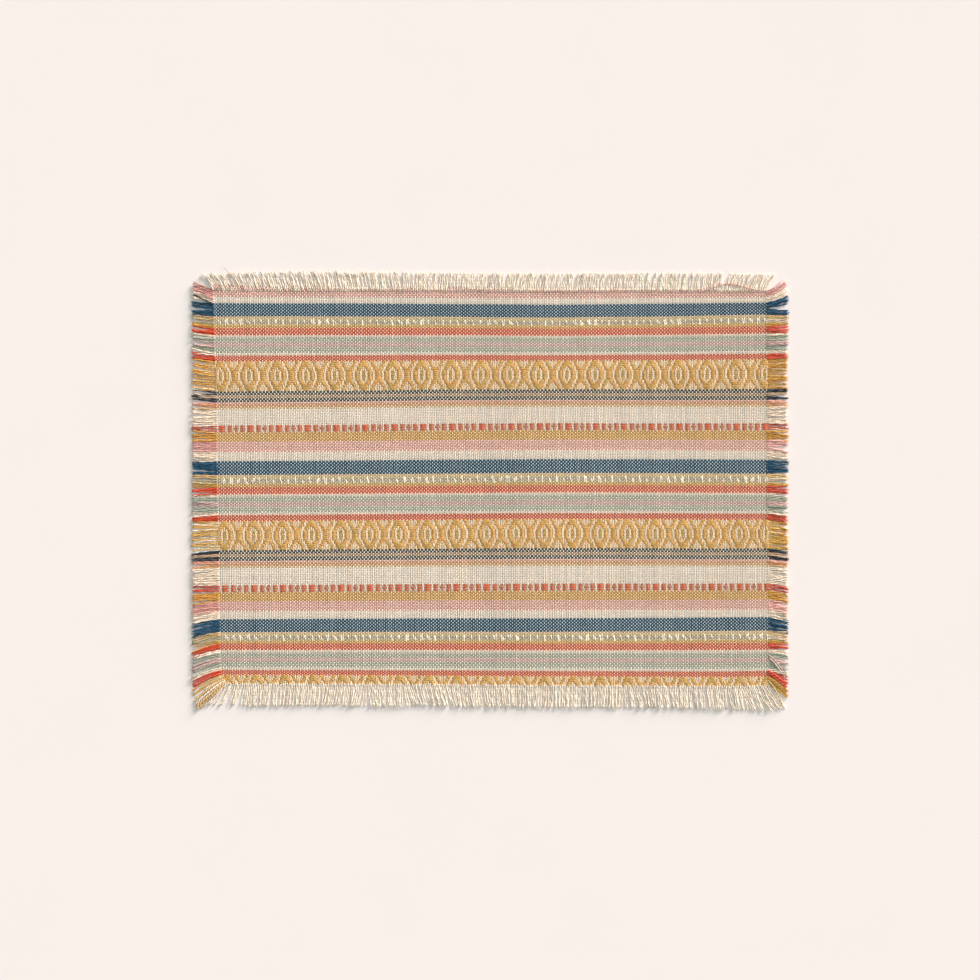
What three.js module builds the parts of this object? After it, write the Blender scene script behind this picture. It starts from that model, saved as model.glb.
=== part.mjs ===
// Woven fabric placemat with a fringe of its own yarn ends on all four sides.
// Millimetres. X runs along the stripes, Y towards the far long side, Z up from the table.

import * as THREE from 'three';

// Driving dimensions of the cloth
const CLOTH_THICKNESS = 1.6;
const RIM_THICKNESS = 1.35;
const NOMINAL_LEFT = -223;
const NOMINAL_RIGHT = 224.3;
const UNDERSIDE_PLATE = { halfLength: 150, halfWidth: 100 };

// Driving dimensions of the woven figures, which stand a little proud as loose floats
const EYE_PITCH = 23;
const FIRST_EYE = -215;
const COLUMNS_PER_EYE = 4;
const COLUMN_COUNT = 78;
const FLOAT_BAND_RISE = 0.12;
const EYE_RISE = 0.3;

// Driving dimensions of the fringe
const EDGE_GAP = 0.45;
const STRIP_WIDTH = 1.5;
const STRIP_THICKNESS = 1.2;
const LOCK_CLEARANCE = 0.5;
const TRIM_UNEVENNESS = 0.5;
const LEAN_UNEVENNESS = 2.2;

// The slow and the quick wave that make up the unevenness from lock to lock, in radians a lock
const UNEVEN_WAVES = [
  { weight: 0.6, step: 2.399, shift: 1.0 },
  { weight: 0.4, step: 0.831, shift: 2.7 },
];

// The two short edges of the cloth, a row for each level across the stripes
const SHORT_EDGES = [
  { y: 164, left: -223.0, right: 224.0 },
  { y: 120, left: -222.2, right: 224.1 },
  { y: 78, left: -220.2, right: 224.1 },
  { y: 20, left: -220.2, right: 224.2 },
  { y: -15, left: -219.8, right: 224.4 },
  { y: -55, left: -219.1, right: 225.2 },
  { y: -90, left: -218.8, right: 225.7 },
  { y: -125, left: -218.2, right: 225.7 },
  { y: -148, left: -217.4, right: 225.4 },
  { y: -157, left: -215.4, right: 225.8 },
];

// How far each line across the cloth strays from straight, a row for each place along it
const LINE_LEVELS = [
  { line: 'back', y: 162.8 },
  { line: 'upper', y: 147.0 },
  { line: 'middle', y: 20.4 },
  { line: 'lower', y: -106.8 },
  { line: 'front', y: -155.4 },
];
const LINE_STRAY = [
  { x: -223, back: 1.0, upper: 0.0, middle: -1.0, lower: -0.7, front: 1.2 },
  { x: -190, back: 0.1, upper: 0.1, middle: -0.8, lower: -0.6, front: 1.1 },
  { x: -110, back: 0.0, upper: 0.0, middle: -0.3, lower: -0.2, front: 0.8 },
  { x: -40, back: -0.4, upper: -0.4, middle: 0.2, lower: -0.1, front: 0.4 },
  { x: 50, back: -0.8, upper: -1.1, middle: 0.8, lower: -0.1, front: -0.2 },
  { x: 140, back: -0.5, upper: -0.1, middle: 0.6, lower: 0.4, front: -0.8 },
  { x: 190, back: -0.6, upper: 0.9, middle: 0.4, lower: 0.8, front: -1.0 },
  { x: 225, back: -0.8, upper: 1.4, middle: 0.2, lower: 1.0, front: -0.5 },
];

// Bands with loose floats, from the far side to the near one
const FLOAT_BANDS = [
  { y: 94.9, height: 23.4, eyes: true },
  { y: 52.8, height: 5.4, eyes: false },
  { y: -33.6, height: 23.2, eyes: true },
  { y: -76.4, height: 5.4, eyes: false },
];

// Where lines of points cross such a band, as shares of its height from the middle
const EYE_BAND_SHARES = [-0.5, -0.25, 0, 0.25, 0.5];
const DASH_BAND_SHARES = [-0.5, 0, 0.5];

// Levels where a line of points crosses the cloth, besides the bands' own
const PLAIN_LEVELS = [161.3, 120.0, 20.4, -102.0, -125.0, -148.0, -153.9];

// The fringes. "at" is the place along the side, "lean" the angle in degrees from straight out, positive
// towards +X or +Y, and "trim" the line on which the yarn ends are cut.
const FRINGES = {
  back: {
    outward: [0, 1],
    locks: 76,
    first: -220.6,
    last: 221.4,
    rows: [
      { at: -222, lean: -36, trim: 176.0 },
      { at: -205, lean: -26, trim: 177.4 },
      { at: -185, lean: -17, trim: 178.4 },
      { at: -150, lean: -14, trim: 178.6 },
      { at: -100, lean: -10, trim: 178.4 },
      { at: -50, lean: -3, trim: 177.6 },
      { at: 0, lean: 4, trim: 177.2 },
      { at: 60, lean: 9, trim: 177.2 },
      { at: 110, lean: 7, trim: 177.4 },
      { at: 150, lean: 4, trim: 177.4 },
      { at: 185, lean: 9, trim: 177.2 },
      { at: 205, lean: 20, trim: 176.9 },
      { at: 223, lean: 31, trim: 176.4 },
    ],
  },
  front: {
    outward: [0, -1],
    locks: 76,
    first: -213.2,
    last: 223.4,
    rows: [
      { at: -216, lean: -40, trim: -171.4 },
      { at: -203, lean: -24, trim: -171.6 },
      { at: -199, lean: -18, trim: -171.8 },
      { at: -195, lean: -2, trim: -173.2 },
      { at: -150, lean: -8, trim: -172.6 },
      { at: -102, lean: -10, trim: -172.8 },
      { at: -97, lean: 8, trim: -173.2 },
      { at: -73, lean: -1, trim: -173.6 },
      { at: -66, lean: 19, trim: -172.4 },
      { at: -20, lean: 8, trim: -173.6 },
      { at: 50, lean: 0, trim: -174.0 },
      { at: 108, lean: -3, trim: -174.2 },
      { at: 113, lean: 14, trim: -174.0 },
      { at: 135, lean: 6, trim: -174.4 },
      { at: 190, lean: 6, trim: -175.4 },
      { at: 210, lean: 20, trim: -176.6 },
      { at: 226, lean: 34, trim: -174.6 },
    ],
  },
  left: {
    outward: [-1, 0],
    locks: 56,
    first: 161.4,
    last: -151.6,
    rows: [
      { at: 164, lean: 31, trim: -239.4 },
      { at: 156, lean: 22, trim: -239.2 },
      { at: 150, lean: 5, trim: -240.2 },
      { at: 138, lean: 3, trim: -239.9 },
      { at: 126, lean: 10, trim: -239.6 },
      { at: 108, lean: 10, trim: -239.8 },
      { at: 92, lean: 7, trim: -239.6 },
      { at: 60, lean: 1, trim: -239.9 },
      { at: 0, lean: 0, trim: -239.8 },
      { at: -40, lean: -2, trim: -240.2 },
      { at: -80, lean: -4, trim: -239.8 },
      { at: -105, lean: -11, trim: -239.6 },
      { at: -122, lean: -17, trim: -239.6 },
      { at: -140, lean: -21, trim: -240.0 },
      { at: -149, lean: -29, trim: -239.2 },
      { at: -156, lean: -40, trim: -236.6 },
    ],
  },
  right: {
    outward: [1, 0],
    locks: 56,
    first: 159.6,
    last: -153.2,
    rows: [
      { at: 163, lean: 36, trim: 238.6 },
      { at: 155, lean: 17, trim: 240.4 },
      { at: 147, lean: 5, trim: 241.4 },
      { at: 130, lean: 1, trim: 241.3 },
      { at: 110, lean: 1, trim: 240.6 },
      { at: 90, lean: 3, trim: 240.2 },
      { at: 60, lean: -2, trim: 241.0 },
      { at: 30, lean: -4, trim: 241.0 },
      { at: 5, lean: 1, trim: 240.8 },
      { at: -20, lean: -8, trim: 240.4 },
      { at: -50, lean: -5, trim: 241.0 },
      { at: -80, lean: -13, trim: 240.6 },
      { at: -115, lean: -9, trim: 240.8 },
      { at: -130, lean: -3, trim: 241.0 },
      { at: -143, lean: -14, trim: 240.6 },
      { at: -155, lean: -37, trim: 240.6 },
    ],
  },
};

// A lock's root fills this share of the pitch between locks. Its stations beyond the root hold the share
// of its length, the share of its sideways lean, its widths below and above as shares of the pitch, and
// its height.
const ROOT_SHARE = 0.8;
const LOCK_STATIONS = [
  { along: 0.5, sway: 0.4, low: 0.76, high: 0.46, height: 1.3 },
  { along: 1.0, sway: 1.0, low: 0.56, high: 0.3, height: 0.9 },
];

// Average colours of the cloth and of its yarn ends on each side
const YARN_ROUGHNESS = 0.95;
const COLOURS = {
  cloth: 0xcaa385,
  back: 0xdccbb2,
  front: 0xd9cab3,
  left: 0xb98a68,
  right: 0xb98a68,
};

// Reads a column of a table at a place between its rows, which run either way.
function readTable(rows, key, place, column) {
  const ordered = rows[0][key] <= rows[rows.length - 1][key] ? rows : [...rows].reverse();
  if (place <= ordered[0][key]) {
    return ordered[0][column];
  }
  for (let i = 1; i < ordered.length; i += 1) {
    if (place <= ordered[i][key]) {
      const share = (place - ordered[i - 1][key]) / (ordered[i][key] - ordered[i - 1][key]);
      return THREE.MathUtils.lerp(ordered[i - 1][column], ordered[i][column], share);
    }
  }
  return ordered[ordered.length - 1][column];
}

// How far a line at level y strays from straight at x.
function stray(x, y) {
  const levels = LINE_LEVELS.map(({ line, y: level }) => ({
    y: level,
    shift: readTable(LINE_STRAY, 'x', x, line),
  }));
  return readTable(levels, 'y', y, 'shift');
}

// Where a point of the straight, nominal cloth comes to lie on the real one.
function place(x, y) {
  const realY = y + stray(x, y);
  const side = x < 0 ? 'left' : 'right';
  const nominal = x < 0 ? NOMINAL_LEFT : NOMINAL_RIGHT;
  const realX = (x * readTable(SHORT_EDGES, 'y', realY, side)) / nominal;
  return new THREE.Vector2(realX, realY);
}

// Collects the points and the triangles of one closed solid.
class Shell {
  constructor() {
    this.points = [];
    this.faces = [];
  }

  // Adds points and gives back their numbers.
  add(points) {
    const first = this.points.length;
    this.points.push(...points);
    return points.map((_, index) => first + index);
  }

  quad(a, b, c, d) {
    this.faces.push([a, b, c], [a, c, d]);
  }

  // Joins one side of a ring of points to the same side of the next ring.
  side(ring, next, index) {
    const after = (index + 1) % ring.length;
    this.quad(ring[index], ring[after], next[after], next[index]);
  }

  // The solid as a geometry, with its faces turned over where they enclose a negative volume.
  geometry() {
    const product = ([a, b, c]) => this.points[a].dot(this.points[b].clone().cross(this.points[c]));
    const volume = this.faces.reduce((sum, face) => sum + product(face), 0);
    const faces = volume < 0 ? this.faces.map(([a, b, c]) => [a, c, b]) : this.faces;
    const geometry = new THREE.BufferGeometry().setFromPoints(this.points);
    geometry.setIndex(faces.flat());
    geometry.computeVertexNormals();
    return geometry;
  }
}

// The height of the cloth's upper face at a nominal point.
function clothHeight(x, y) {
  const band = FLOAT_BANDS.find((item) => Math.abs(y - item.y) < item.height / 2);
  if (!band) {
    return CLOTH_THICKNESS;
  }
  if (!band.eyes) {
    return CLOTH_THICKNESS + FLOAT_BAND_RISE;
  }
  const turns = (x - FIRST_EYE) / EYE_PITCH;
  const across = 2 * (turns - Math.round(turns));
  const up = (2 * (y - band.y)) / band.height;
  const lens = Math.max(0, 1 - across * across - up * up);
  return CLOTH_THICKNESS + FLOAT_BAND_RISE + EYE_RISE * lens;
}

function clothColumns() {
  const columns = [NOMINAL_LEFT];
  for (let i = 0; i < COLUMN_COUNT; i += 1) {
    columns.push(FIRST_EYE + ((i - 1) * EYE_PITCH) / COLUMNS_PER_EYE);
  }
  columns.push(NOMINAL_RIGHT);
  return columns;
}

function clothLevels() {
  const levels = [LINE_LEVELS[0].y, LINE_LEVELS[LINE_LEVELS.length - 1].y, ...PLAIN_LEVELS];
  for (const band of FLOAT_BANDS) {
    const shares = band.eyes ? EYE_BAND_SHARES : DASH_BAND_SHARES;
    levels.push(...shares.map((share) => band.y + share * band.height));
  }
  return levels.sort((a, b) => a - b);
}

// The cloth: an uneven outline with a flat underside and low relief where the floats lie.
function clothGeometry() {
  const columns = clothColumns();
  const levels = clothLevels();
  const lastColumn = columns.length - 1;
  const lastLevel = levels.length - 1;
  const shell = new Shell();
  const top = levels.map((y, level) =>
    shell.add(
      columns.map((x, column) => {
        const onRim = level === 0 || level === lastLevel || column === 0 || column === lastColumn;
        const spot = place(x, y);
        return new THREE.Vector3(spot.x, spot.y, onRim ? RIM_THICKNESS : clothHeight(x, y));
      }),
    ),
  );
  for (let level = 0; level < lastLevel; level += 1) {
    for (let column = 0; column < lastColumn; column += 1) {
      const [near, far] = [top[level], top[level + 1]];
      shell.quad(near[column], near[column + 1], far[column + 1], far[column]);
    }
  }
  addUnderside(shell, top);
  return shell.geometry();
}

// The rim's wall and the flat underside: one plate in the middle, joined to the rim at its four corners.
function addUnderside(shell, top) {
  const lastColumn = top[0].length - 1;
  const upper = [
    ...top[0].slice(0, -1),
    ...top.slice(0, -1).map((row) => row[lastColumn]),
    ...top[top.length - 1].slice(1).reverse(),
    ...top.slice(1).map((row) => row[0]).reverse(),
  ];
  const lower = shell.add(upper.map((index) => shell.points[index].clone().setZ(0)));
  const { halfLength, halfWidth } = UNDERSIDE_PLATE;
  const [nearLeft, nearRight, farRight, farLeft] = shell.add([
    new THREE.Vector3(-halfLength, -halfWidth, 0),
    new THREE.Vector3(halfLength, -halfWidth, 0),
    new THREE.Vector3(halfLength, halfWidth, 0),
    new THREE.Vector3(-halfLength, halfWidth, 0),
  ]);
  const plateCorner = ({ x, y }) => {
    if (y < 0) {
      return x < 0 ? nearLeft : nearRight;
    }
    return x < 0 ? farLeft : farRight;
  };
  lower.forEach((here, i) => {
    const after = (i + 1) % lower.length;
    const corner = plateCorner(shell.points[here]);
    const nextCorner = plateCorner(shell.points[lower[after]]);
    shell.quad(here, lower[after], upper[after], upper[i]);
    shell.faces.push([corner, lower[after], here]);
    if (nextCorner !== corner) {
      shell.faces.push([corner, nextCorner, lower[after]]);
    }
  });
  shell.quad(nearLeft, farLeft, farRight, nearRight);
}

// The point of the cloth's edge at a place along one side.
function edgePoint(fringe, at) {
  const [outX, outY] = fringe.outward;
  if (outX === 0) {
    const level = outY > 0 ? LINE_LEVELS[0].y : LINE_LEVELS[LINE_LEVELS.length - 1].y;
    return new THREE.Vector2(at, level + stray(at, level));
  }
  return new THREE.Vector2(readTable(SHORT_EDGES, 'y', at, outX < 0 ? 'left' : 'right'), at);
}

// Even places along a side, from its first lock to its last.
function lockPlaces(fringe) {
  const pitch = (fringe.last - fringe.first) / (fringe.locks - 1);
  return Array.from({ length: fringe.locks }, (_, i) => fringe.first + pitch * i);
}

// A small unevenness that is the same each time, between -1 and 1.
function uneven(index, seed) {
  const wave = ({ weight, step, shift }) => weight * Math.sin(index * step + seed * shift);
  return UNEVEN_WAVES.reduce((sum, row) => sum + wave(row), 0);
}

// Root, length and sideways offset of each lock of a fringe, with the tips kept clear of each other.
function lockLines(fringe, seed) {
  const places = lockPlaces(fringe);
  const step = places[1] - places[0];
  const tipWidth = LOCK_STATIONS[LOCK_STATIONS.length - 1].low * Math.abs(step);
  const lines = places.map((at, index) => {
    const root = stripPoint(fringe, at, STRIP_WIDTH);
    const trim = readTable(fringe.rows, 'at', at, 'trim');
    const rootLevel = fringe.outward[0] === 0 ? root.y : root.x;
    const length = Math.abs(trim - rootLevel) + TRIM_UNEVENNESS * uneven(index, seed);
    const lean = readTable(fringe.rows, 'at', at, 'lean') + LEAN_UNEVENNESS * uneven(index, seed + 1);
    return { at, root, length, offset: length * Math.tan(THREE.MathUtils.degToRad(lean)) };
  });
  const direction = Math.sign(step);
  for (let i = 1; i < lines.length; i += 1) {
    const apart = direction * (lines[i].at + lines[i].offset - lines[i - 1].at - lines[i - 1].offset);
    const missing = Math.max(0, tipWidth + LOCK_CLEARANCE - apart);
    lines[i].offset += (direction * missing) / 2;
    lines[i - 1].offset -= (direction * missing) / 2;
  }
  return lines;
}

// A point of the strip, so far out from its inner edge, which lies just clear of the cloth.
function stripPoint(fringe, at, out) {
  return edgePoint(fringe, at).addScaledVector(new THREE.Vector2(...fringe.outward), EDGE_GAP + out);
}

// The strip's four corners at a place along it: inner and outer below, outer and inner above.
function stripRing(fringe, at) {
  const inner = stripPoint(fringe, at, 0);
  const outer = stripPoint(fringe, at, STRIP_WIDTH);
  return [
    new THREE.Vector3(inner.x, inner.y, 0),
    new THREE.Vector3(outer.x, outer.y, 0),
    new THREE.Vector3(outer.x, outer.y, STRIP_THICKNESS),
    new THREE.Vector3(inner.x, inner.y, STRIP_THICKNESS),
  ];
}

// The four corners of a lock at one of its stations, level underneath, in the order of its root's.
function lockRing(fringe, line, step, station) {
  const outward = new THREE.Vector2(...fringe.outward);
  const along = new THREE.Vector2(Math.abs(outward.y), Math.abs(outward.x));
  const centre = line.root
    .clone()
    .addScaledVector(outward, line.length * station.along)
    .addScaledVector(along, line.offset * station.sway);
  const sideways = along.clone().addScaledVector(outward, -line.offset / line.length).normalize();
  const corner = (share, height) => {
    const spot = centre.clone().addScaledVector(sideways, (share * step) / 2);
    return new THREE.Vector3(spot.x, spot.y, height);
  };
  return [
    corner(-station.low, 0),
    corner(-station.high, station.height),
    corner(station.high, station.height),
    corner(station.low, 0),
  ];
}

// A whole fringe: a strip just clear of the cloth, with a lock growing from each even stretch of it.
function fringeGeometry(fringe, seed) {
  const OUTER_SIDE = 1;
  const lines = lockLines(fringe, seed);
  const step = lines[1].at - lines[0].at;
  const halfRoot = (step * ROOT_SHARE) / 2;
  const shell = new Shell();
  const rings = lines
    .flatMap(({ at }) => [at - halfRoot, at + halfRoot])
    .map((at) => shell.add(stripRing(fringe, at)));
  for (let i = 0; i < rings.length - 1; i += 1) {
    const [ring, next] = [rings[i], rings[i + 1]];
    ring.forEach((_, side) => {
      if (side !== OUTER_SIDE || i % 2 === 1) {
        shell.side(ring, next, side);
      }
    });
  }
  lines.forEach((line, index) => {
    const [ring, next] = [rings[2 * index], rings[2 * index + 1]];
    let last = [ring[OUTER_SIDE], ring[OUTER_SIDE + 1], next[OUTER_SIDE + 1], next[OUTER_SIDE]];
    for (const station of LOCK_STATIONS) {
      const corners = shell.add(lockRing(fringe, line, step, station));
      last.forEach((_, side) => shell.side(last, corners, side));
      last = corners;
    }
    shell.quad(...last);
  });
  shell.quad(...[...rings[0]].reverse());
  shell.quad(...rings[rings.length - 1]);
  return shell.geometry();
}

function yarnMesh(name, geometry, colour) {
  const material = new THREE.MeshStandardMaterial({ color: colour, roughness: YARN_ROUGHNESS, metalness: 0 });
  const mesh = new THREE.Mesh(geometry, material);
  mesh.name = name;
  return mesh;
}

const placemat = new THREE.Group();
placemat.add(yarnMesh('cloth', clothGeometry(), COLOURS.cloth));
Object.entries(FRINGES).forEach(([side, fringe], index) => {
  placemat.add(yarnMesh(`fringe_${side}`, fringeGeometry(fringe, index + 1), COLOURS[side]));
});

// The origin is under the middle of the whole mat, on the table.
const bounds = new THREE.Box3().setFromObject(placemat);
const middle = bounds.getCenter(new THREE.Vector3());
placemat.position.set(-middle.x, -middle.y, -bounds.min.z);
placemat.updateMatrixWorld(true);

export default placemat;
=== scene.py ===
"""A striped woven placemat with figured bands and a fringe of its own yarn ends on all four sides.

The mat lies flat on a table and is seen from straight above. X runs along the stripes, Y towards the far
long side and Z up from the table. The tables hold millimetres, and everything that is built is in metres.
"""

import math

import bpy
import numpy as np
from bpy.props import FloatProperty, FloatVectorProperty, PointerProperty
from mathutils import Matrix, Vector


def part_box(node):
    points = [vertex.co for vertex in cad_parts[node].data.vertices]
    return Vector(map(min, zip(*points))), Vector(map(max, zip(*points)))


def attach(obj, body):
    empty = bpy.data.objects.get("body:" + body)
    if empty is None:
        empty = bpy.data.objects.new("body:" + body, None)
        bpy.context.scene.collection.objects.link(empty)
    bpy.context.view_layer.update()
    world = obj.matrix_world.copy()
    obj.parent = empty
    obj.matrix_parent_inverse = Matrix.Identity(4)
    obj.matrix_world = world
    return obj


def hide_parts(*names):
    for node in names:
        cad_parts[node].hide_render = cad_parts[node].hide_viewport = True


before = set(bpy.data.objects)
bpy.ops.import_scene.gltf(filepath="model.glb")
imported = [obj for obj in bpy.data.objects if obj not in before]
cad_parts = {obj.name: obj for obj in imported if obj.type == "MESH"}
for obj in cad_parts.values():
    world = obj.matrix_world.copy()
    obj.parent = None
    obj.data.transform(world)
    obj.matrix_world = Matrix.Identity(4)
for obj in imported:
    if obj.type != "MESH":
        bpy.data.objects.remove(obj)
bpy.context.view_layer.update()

bl_info = {
    "name": "Woven placemat",
    "version": (1, 0, 0),
    "blender": (4, 5, 0),
    "location": "3D View > Sidebar > Placemat",
    "description": "Builds a striped woven placemat with figured bands and a fringe of yarn ends",
    "category": "Add Mesh",
}

BODY = "root"
MM = 0.001


def table(names, *rows):
    """A small table as named columns, in the order of its first column."""
    columns = zip(*sorted(rows))
    return {name: np.array(column, float) for name, column in zip(names.split(), columns)}


def srgb(red, green, blue):
    """A colour as the numbers that the shaders work with, from its 0 to 255 screen values."""
    shares = [value / 255 for value in (red, green, blue)]
    return tuple(s / 12.92 if s <= 0.04045 else ((s + 0.055) / 1.055) ** 2.4 for s in shares)


# Outline of the cloth, which is a little uneven
NOMINAL_LEFT = -223.0
NOMINAL_RIGHT = 224.3
SHORT_EDGES = table(
    "y left right",
    (164, -223.0, 224.0), (120, -222.2, 224.1), (78, -220.2, 224.1), (20, -220.2, 224.2),
    (-15, -219.8, 224.4), (-55, -219.1, 225.2), (-90, -218.8, 225.7), (-125, -218.2, 225.7),
    (-148, -217.4, 225.4), (-157, -215.4, 225.8),
)

# Seven lines along the cloth, from the near one to the far one, and how far each strays from straight
LINE_LEVELS = {
    "front": -155.4, "lower": -106.8, "near_figures": -60.0, "middle": 20.4, "far_figures": 75.0,
    "upper": 147.0, "back": 162.8,
}
LINE_STRAY = table(
    "x back upper far_figures middle near_figures lower front",
    (-223, 1.0, 0.0, -2.3, -1.0, -1.7, -0.7, 1.2),
    (-190, 0.1, 0.1, -2.0, -0.8, -1.5, -0.6, 1.1),
    (-110, 0.0, 0.0, -1.5, -0.3, -0.9, -0.2, 0.8),
    (-40, -0.4, -0.4, -0.5, 0.2, -0.4, -0.1, 0.4),
    (50, -0.8, -1.1, -0.2, 0.8, 0.1, -0.1, -0.2),
    (140, -0.5, -0.1, -0.4, 0.6, -0.1, 0.4, -0.8),
    (190, -0.6, 0.9, -0.3, 0.4, -0.3, 0.8, -1.0),
    (225, -0.8, 1.4, -0.2, 0.2, -0.2, 1.0, -0.5),
)

# How far the warp strays to the right in the two figured bands, at the levels of their middles
FIGURE_LEVELS = (-33.6, 94.9)
WARP_STRAY = table(
    "x near far",
    (-223, -2.2, -4.0), (-169, -0.5, -3.5), (-123, 1.1, -3.1), (-77, 2.5, -1.7), (-31, 3.9, -0.7),
    (-8, 5.7, 0.8), (15, 6.4, 1.4), (61, 5.6, 1.3), (107, 3.9, 0.5), (153, 2.3, -0.9), (199, 1.6, -0.5),
    (224, 0.3, -0.1),
)

# The warp: even ends, sixteen to each figure
EYE_PITCH = 23.0
EYE_ENDS = 16
WARP_PITCH = EYE_PITCH / EYE_ENDS
WARP_ENDS = 309
FIRST_EYE_X = -215.0
FIRST_EYE_END = 3
EDGE_ROOM = 0.6
LEAST_PITCH = 0.85

# The weft, from the far edge to the near one. Each stripe has a figure, a yarn, a number of picks and the
# height that it takes each of the three times that it is woven.
EYE_PICKS = 30
CUT_EYE_PICKS = 10
FAR_STRIPES = (("plain", "brown", 1, 1.1), ("plain", "pink", 3, 4.5), ("plain", "cream", 4, 5.2))
REPEAT = (
    ("plain", "blue", 8, (10.1, 11.0, 10.6)),
    ("plain", "apricot", 2, (2.4, 2.4, 2.4)),
    ("tick edge", "olive", 1, (1.1, 1.3, 1.2)),
    ("tick", "stone", 2, (2.2, 2.6, 2.6)),
    ("tick edge", "olive", 1, (1.1, 1.3, 1.2)),
    ("plain", "mustard", 2, (2.4, 2.3, 2.2)),
    ("plain", "coral", 4, (5.6, 5.6, 5.2)),
    ("plain", "cream", 2, (1.9, 2.0, 2.4)),
    ("plain", "sage", 3, (3.8, 4.4, 4.0)),
    ("plain", "ash", 3, (3.6, 3.6, 3.4)),
    ("plain", "sage", 3, (4.3, 4.4, 4.7)),
    ("plain", "cream", 2, (2.4, 2.3, 2.4)),
    ("plain", "coral", 4, (4.4, 4.8, 4.2)),
    ("eye", "mustard", EYE_PICKS, (23.4, 23.1, 7.3)),
    ("plain", "navy", 2, (3.0, 3.0)),
    ("plain", "tan", 2, (2.4, 2.3)),
    ("plain", "navy", 2, (3.1, 3.2)),
    ("plain", "pink", 1, (1.4, 1.4)),
    ("plain", "peach", 2, (2.9, 2.8)),
    ("plain", "apricot", 1, (1.4, 1.4)),
    ("plain", "cream", 10, (13.7, 14.5)),
    ("dash", "brick", 6, (5.4, 5.5)),
    ("plain", "mustard", 6, (7.7, 7.4)),
    ("plain", "pink", 6, (8.5, 8.1)),
    ("plain", "cream", 6, (7.7, 6.7)),
)

# Charts of the figures, a row for each pattern pick. A row runs from the middle of the figure to half way
# to the next one: a dot is a float of the pattern yarn, # is warp on top and + is plain weave. The eye's
# chart is its far half, which is mirrored.
EYE_CHART = (
    "..##..###",
    "...##.+##",
    "...##..##",
    "#...##..#",
    "##..##..+",
    ".##..##..",
    ".##..##..",
    ".##..##..",
)
DASH_CHART = ("..##..#+.",) * 3
FIGURED = ("eye", "dash")
TICK_ENDS = 4

# Some ticks are two ends wide: the beat with which these come, and how few they are
WIDE_TICKS = (1.7, 0.45)

# Shares of the height that a pattern pick and the thin ground pick after it take
PATTERN_SHARE = 1.35
GROUND_SHARE = 0.65

# Heights of the yarns' crowns above the table
UNDER_CROWN = 0.86
CREAM_UNDER = 1.2
WARP_CROWN = 1.55
WEFT_CROWN = 1.6
COVERED_CROWN = 1.34

# How far the figured bands and their eyes rise, the rings dip, and the yarns sink at the cloth's edge
BAND_RISE = 0.12
EYE_RISE = 0.3
RING_DIP = 0.22
RIM_SINK = 0.2

# How far a yarn's edges lie below its crown
CROWN_DROP = 0.36
FLOAT_DROP = 0.3

# Widths of the yarns, and shares of the usual width where one dives under or is thinner than the rest
RING_WIDTH = 0.9
TICK_WIDTHS = (0.9, 1.7)
CREAM_WIDTH = 1.04
FLOAT_WIDTH = 1.6
WIDEST_PICK = 1.75
UNDER_WARP = 0.8
UNDER_WEFT = 0.75
CREAM_COVER = 0.62
NAVY_COVER = 0.86
THICKNESSES = (0.9, 1.1)

# How far the rings' ends are drawn together, the ticks slant and the ends stray in the eyes
RING_DRAW = 0.36
RING_SMOOTHING = 2.5
TICK_SLANT = 0.45
TICK_LEANS = (-0.2, 1.0)
TICK_PLACES = (-1.0, -0.5, 0.5, 1.0)
EYE_JITTER = 0.13

# Slow wander of the ends and of the picks: wavelength and size
WARP_WANDER = (95.0, 0.14)
WEFT_WANDER = (120.0, 0.12)
WAVE_PARTS = (1.0, 1.9, 3.3)

# Where each set of random draws starts
SEEDS = {"draft": 11, "warp": 12, "weft": 13, "fringes": 20, "loose": 30, "slipped": 40}

# The yarns: where each is used, its own screen colour, that of its picks once woven, and that of the cream
# ends over them, which are tinted by its fuzz and by the light that it throws back
YARNS = {
    "cream": ("Warp and ground weft", (238, 225, 205), (229, 212, 192), (235, 223, 205)),
    "brown": ("Pick along the far edge", (164, 121, 105), (180, 138, 123), (242, 217, 205)),
    "pink": ("Weft of the pink stripes", (216, 158, 146), (205, 154, 137), (246, 221, 209)),
    "ash": ("Thin stripe in the sage", (198, 166, 158), (189, 156, 145), (240, 221, 214)),
    "blue": ("Weft of the wide blue stripes", (34, 77, 102), (43, 66, 77), (185, 203, 212)),
    "apricot": ("Weft beside the blue", (210, 174, 126), (194, 165, 122), (243, 228, 202)),
    "olive": ("Weft beside the white ticks", (196, 181, 128), (180, 164, 116), (236, 224, 190)),
    "stone": ("Weft between the white ticks", (190, 178, 160), (166, 151, 128), (220, 206, 188)),
    "sage": ("Weft of the grey-green stripes", (166, 170, 150), (163, 161, 141), (225, 224, 207)),
    "mustard": ("Weft of the figured bands", (204, 151, 70), (190, 142, 82), (248, 222, 173)),
    "coral": ("Weft of the red stripes", (208, 88, 64), (190, 93, 65), (251, 195, 172)),
    "brick": ("Weft of the row of dashes", (188, 82, 62), (180, 115, 86), (233, 209, 187)),
    "navy": ("Weft of the thin dark lines", (50, 54, 60), (63, 63, 58), (224, 217, 200)),
    "tan": ("Weft between the dark lines", (194, 160, 127), (152, 121, 95), (246, 231, 205)),
    "peach": ("Weft below the dark lines", (211, 152, 110), (185, 134, 97), (249, 222, 190)),
}

# Screen colours of the figures' floats and of the cream rings round them
FLOAT_TINT = (203, 156, 92)
RING_TINT = (250, 223, 187)

# Factors for the floats' colours by their places in the chart: in the eyes' middles the floats are painted
# darker and olive, as painted shade, and in the dashes they get tints of their own
FLOAT_TINTS_AND_SHADE = (
    ("eye", (0, 0), (0.8, 0.95, 0.8)),
    ("dash", (0, 1), (1.34, 0.74, 0.62)),
    ("dash", (4, 5), (1.2, 0.86, 0.76)),
    ("dash", (7, 8), (1.0, 1.02, 1.06)),
)

# How much yarns of one kind differ in colour
WARP_DYE = 0.1
WEFT_DYE = 0.07
END_DYE = 0.08

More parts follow.
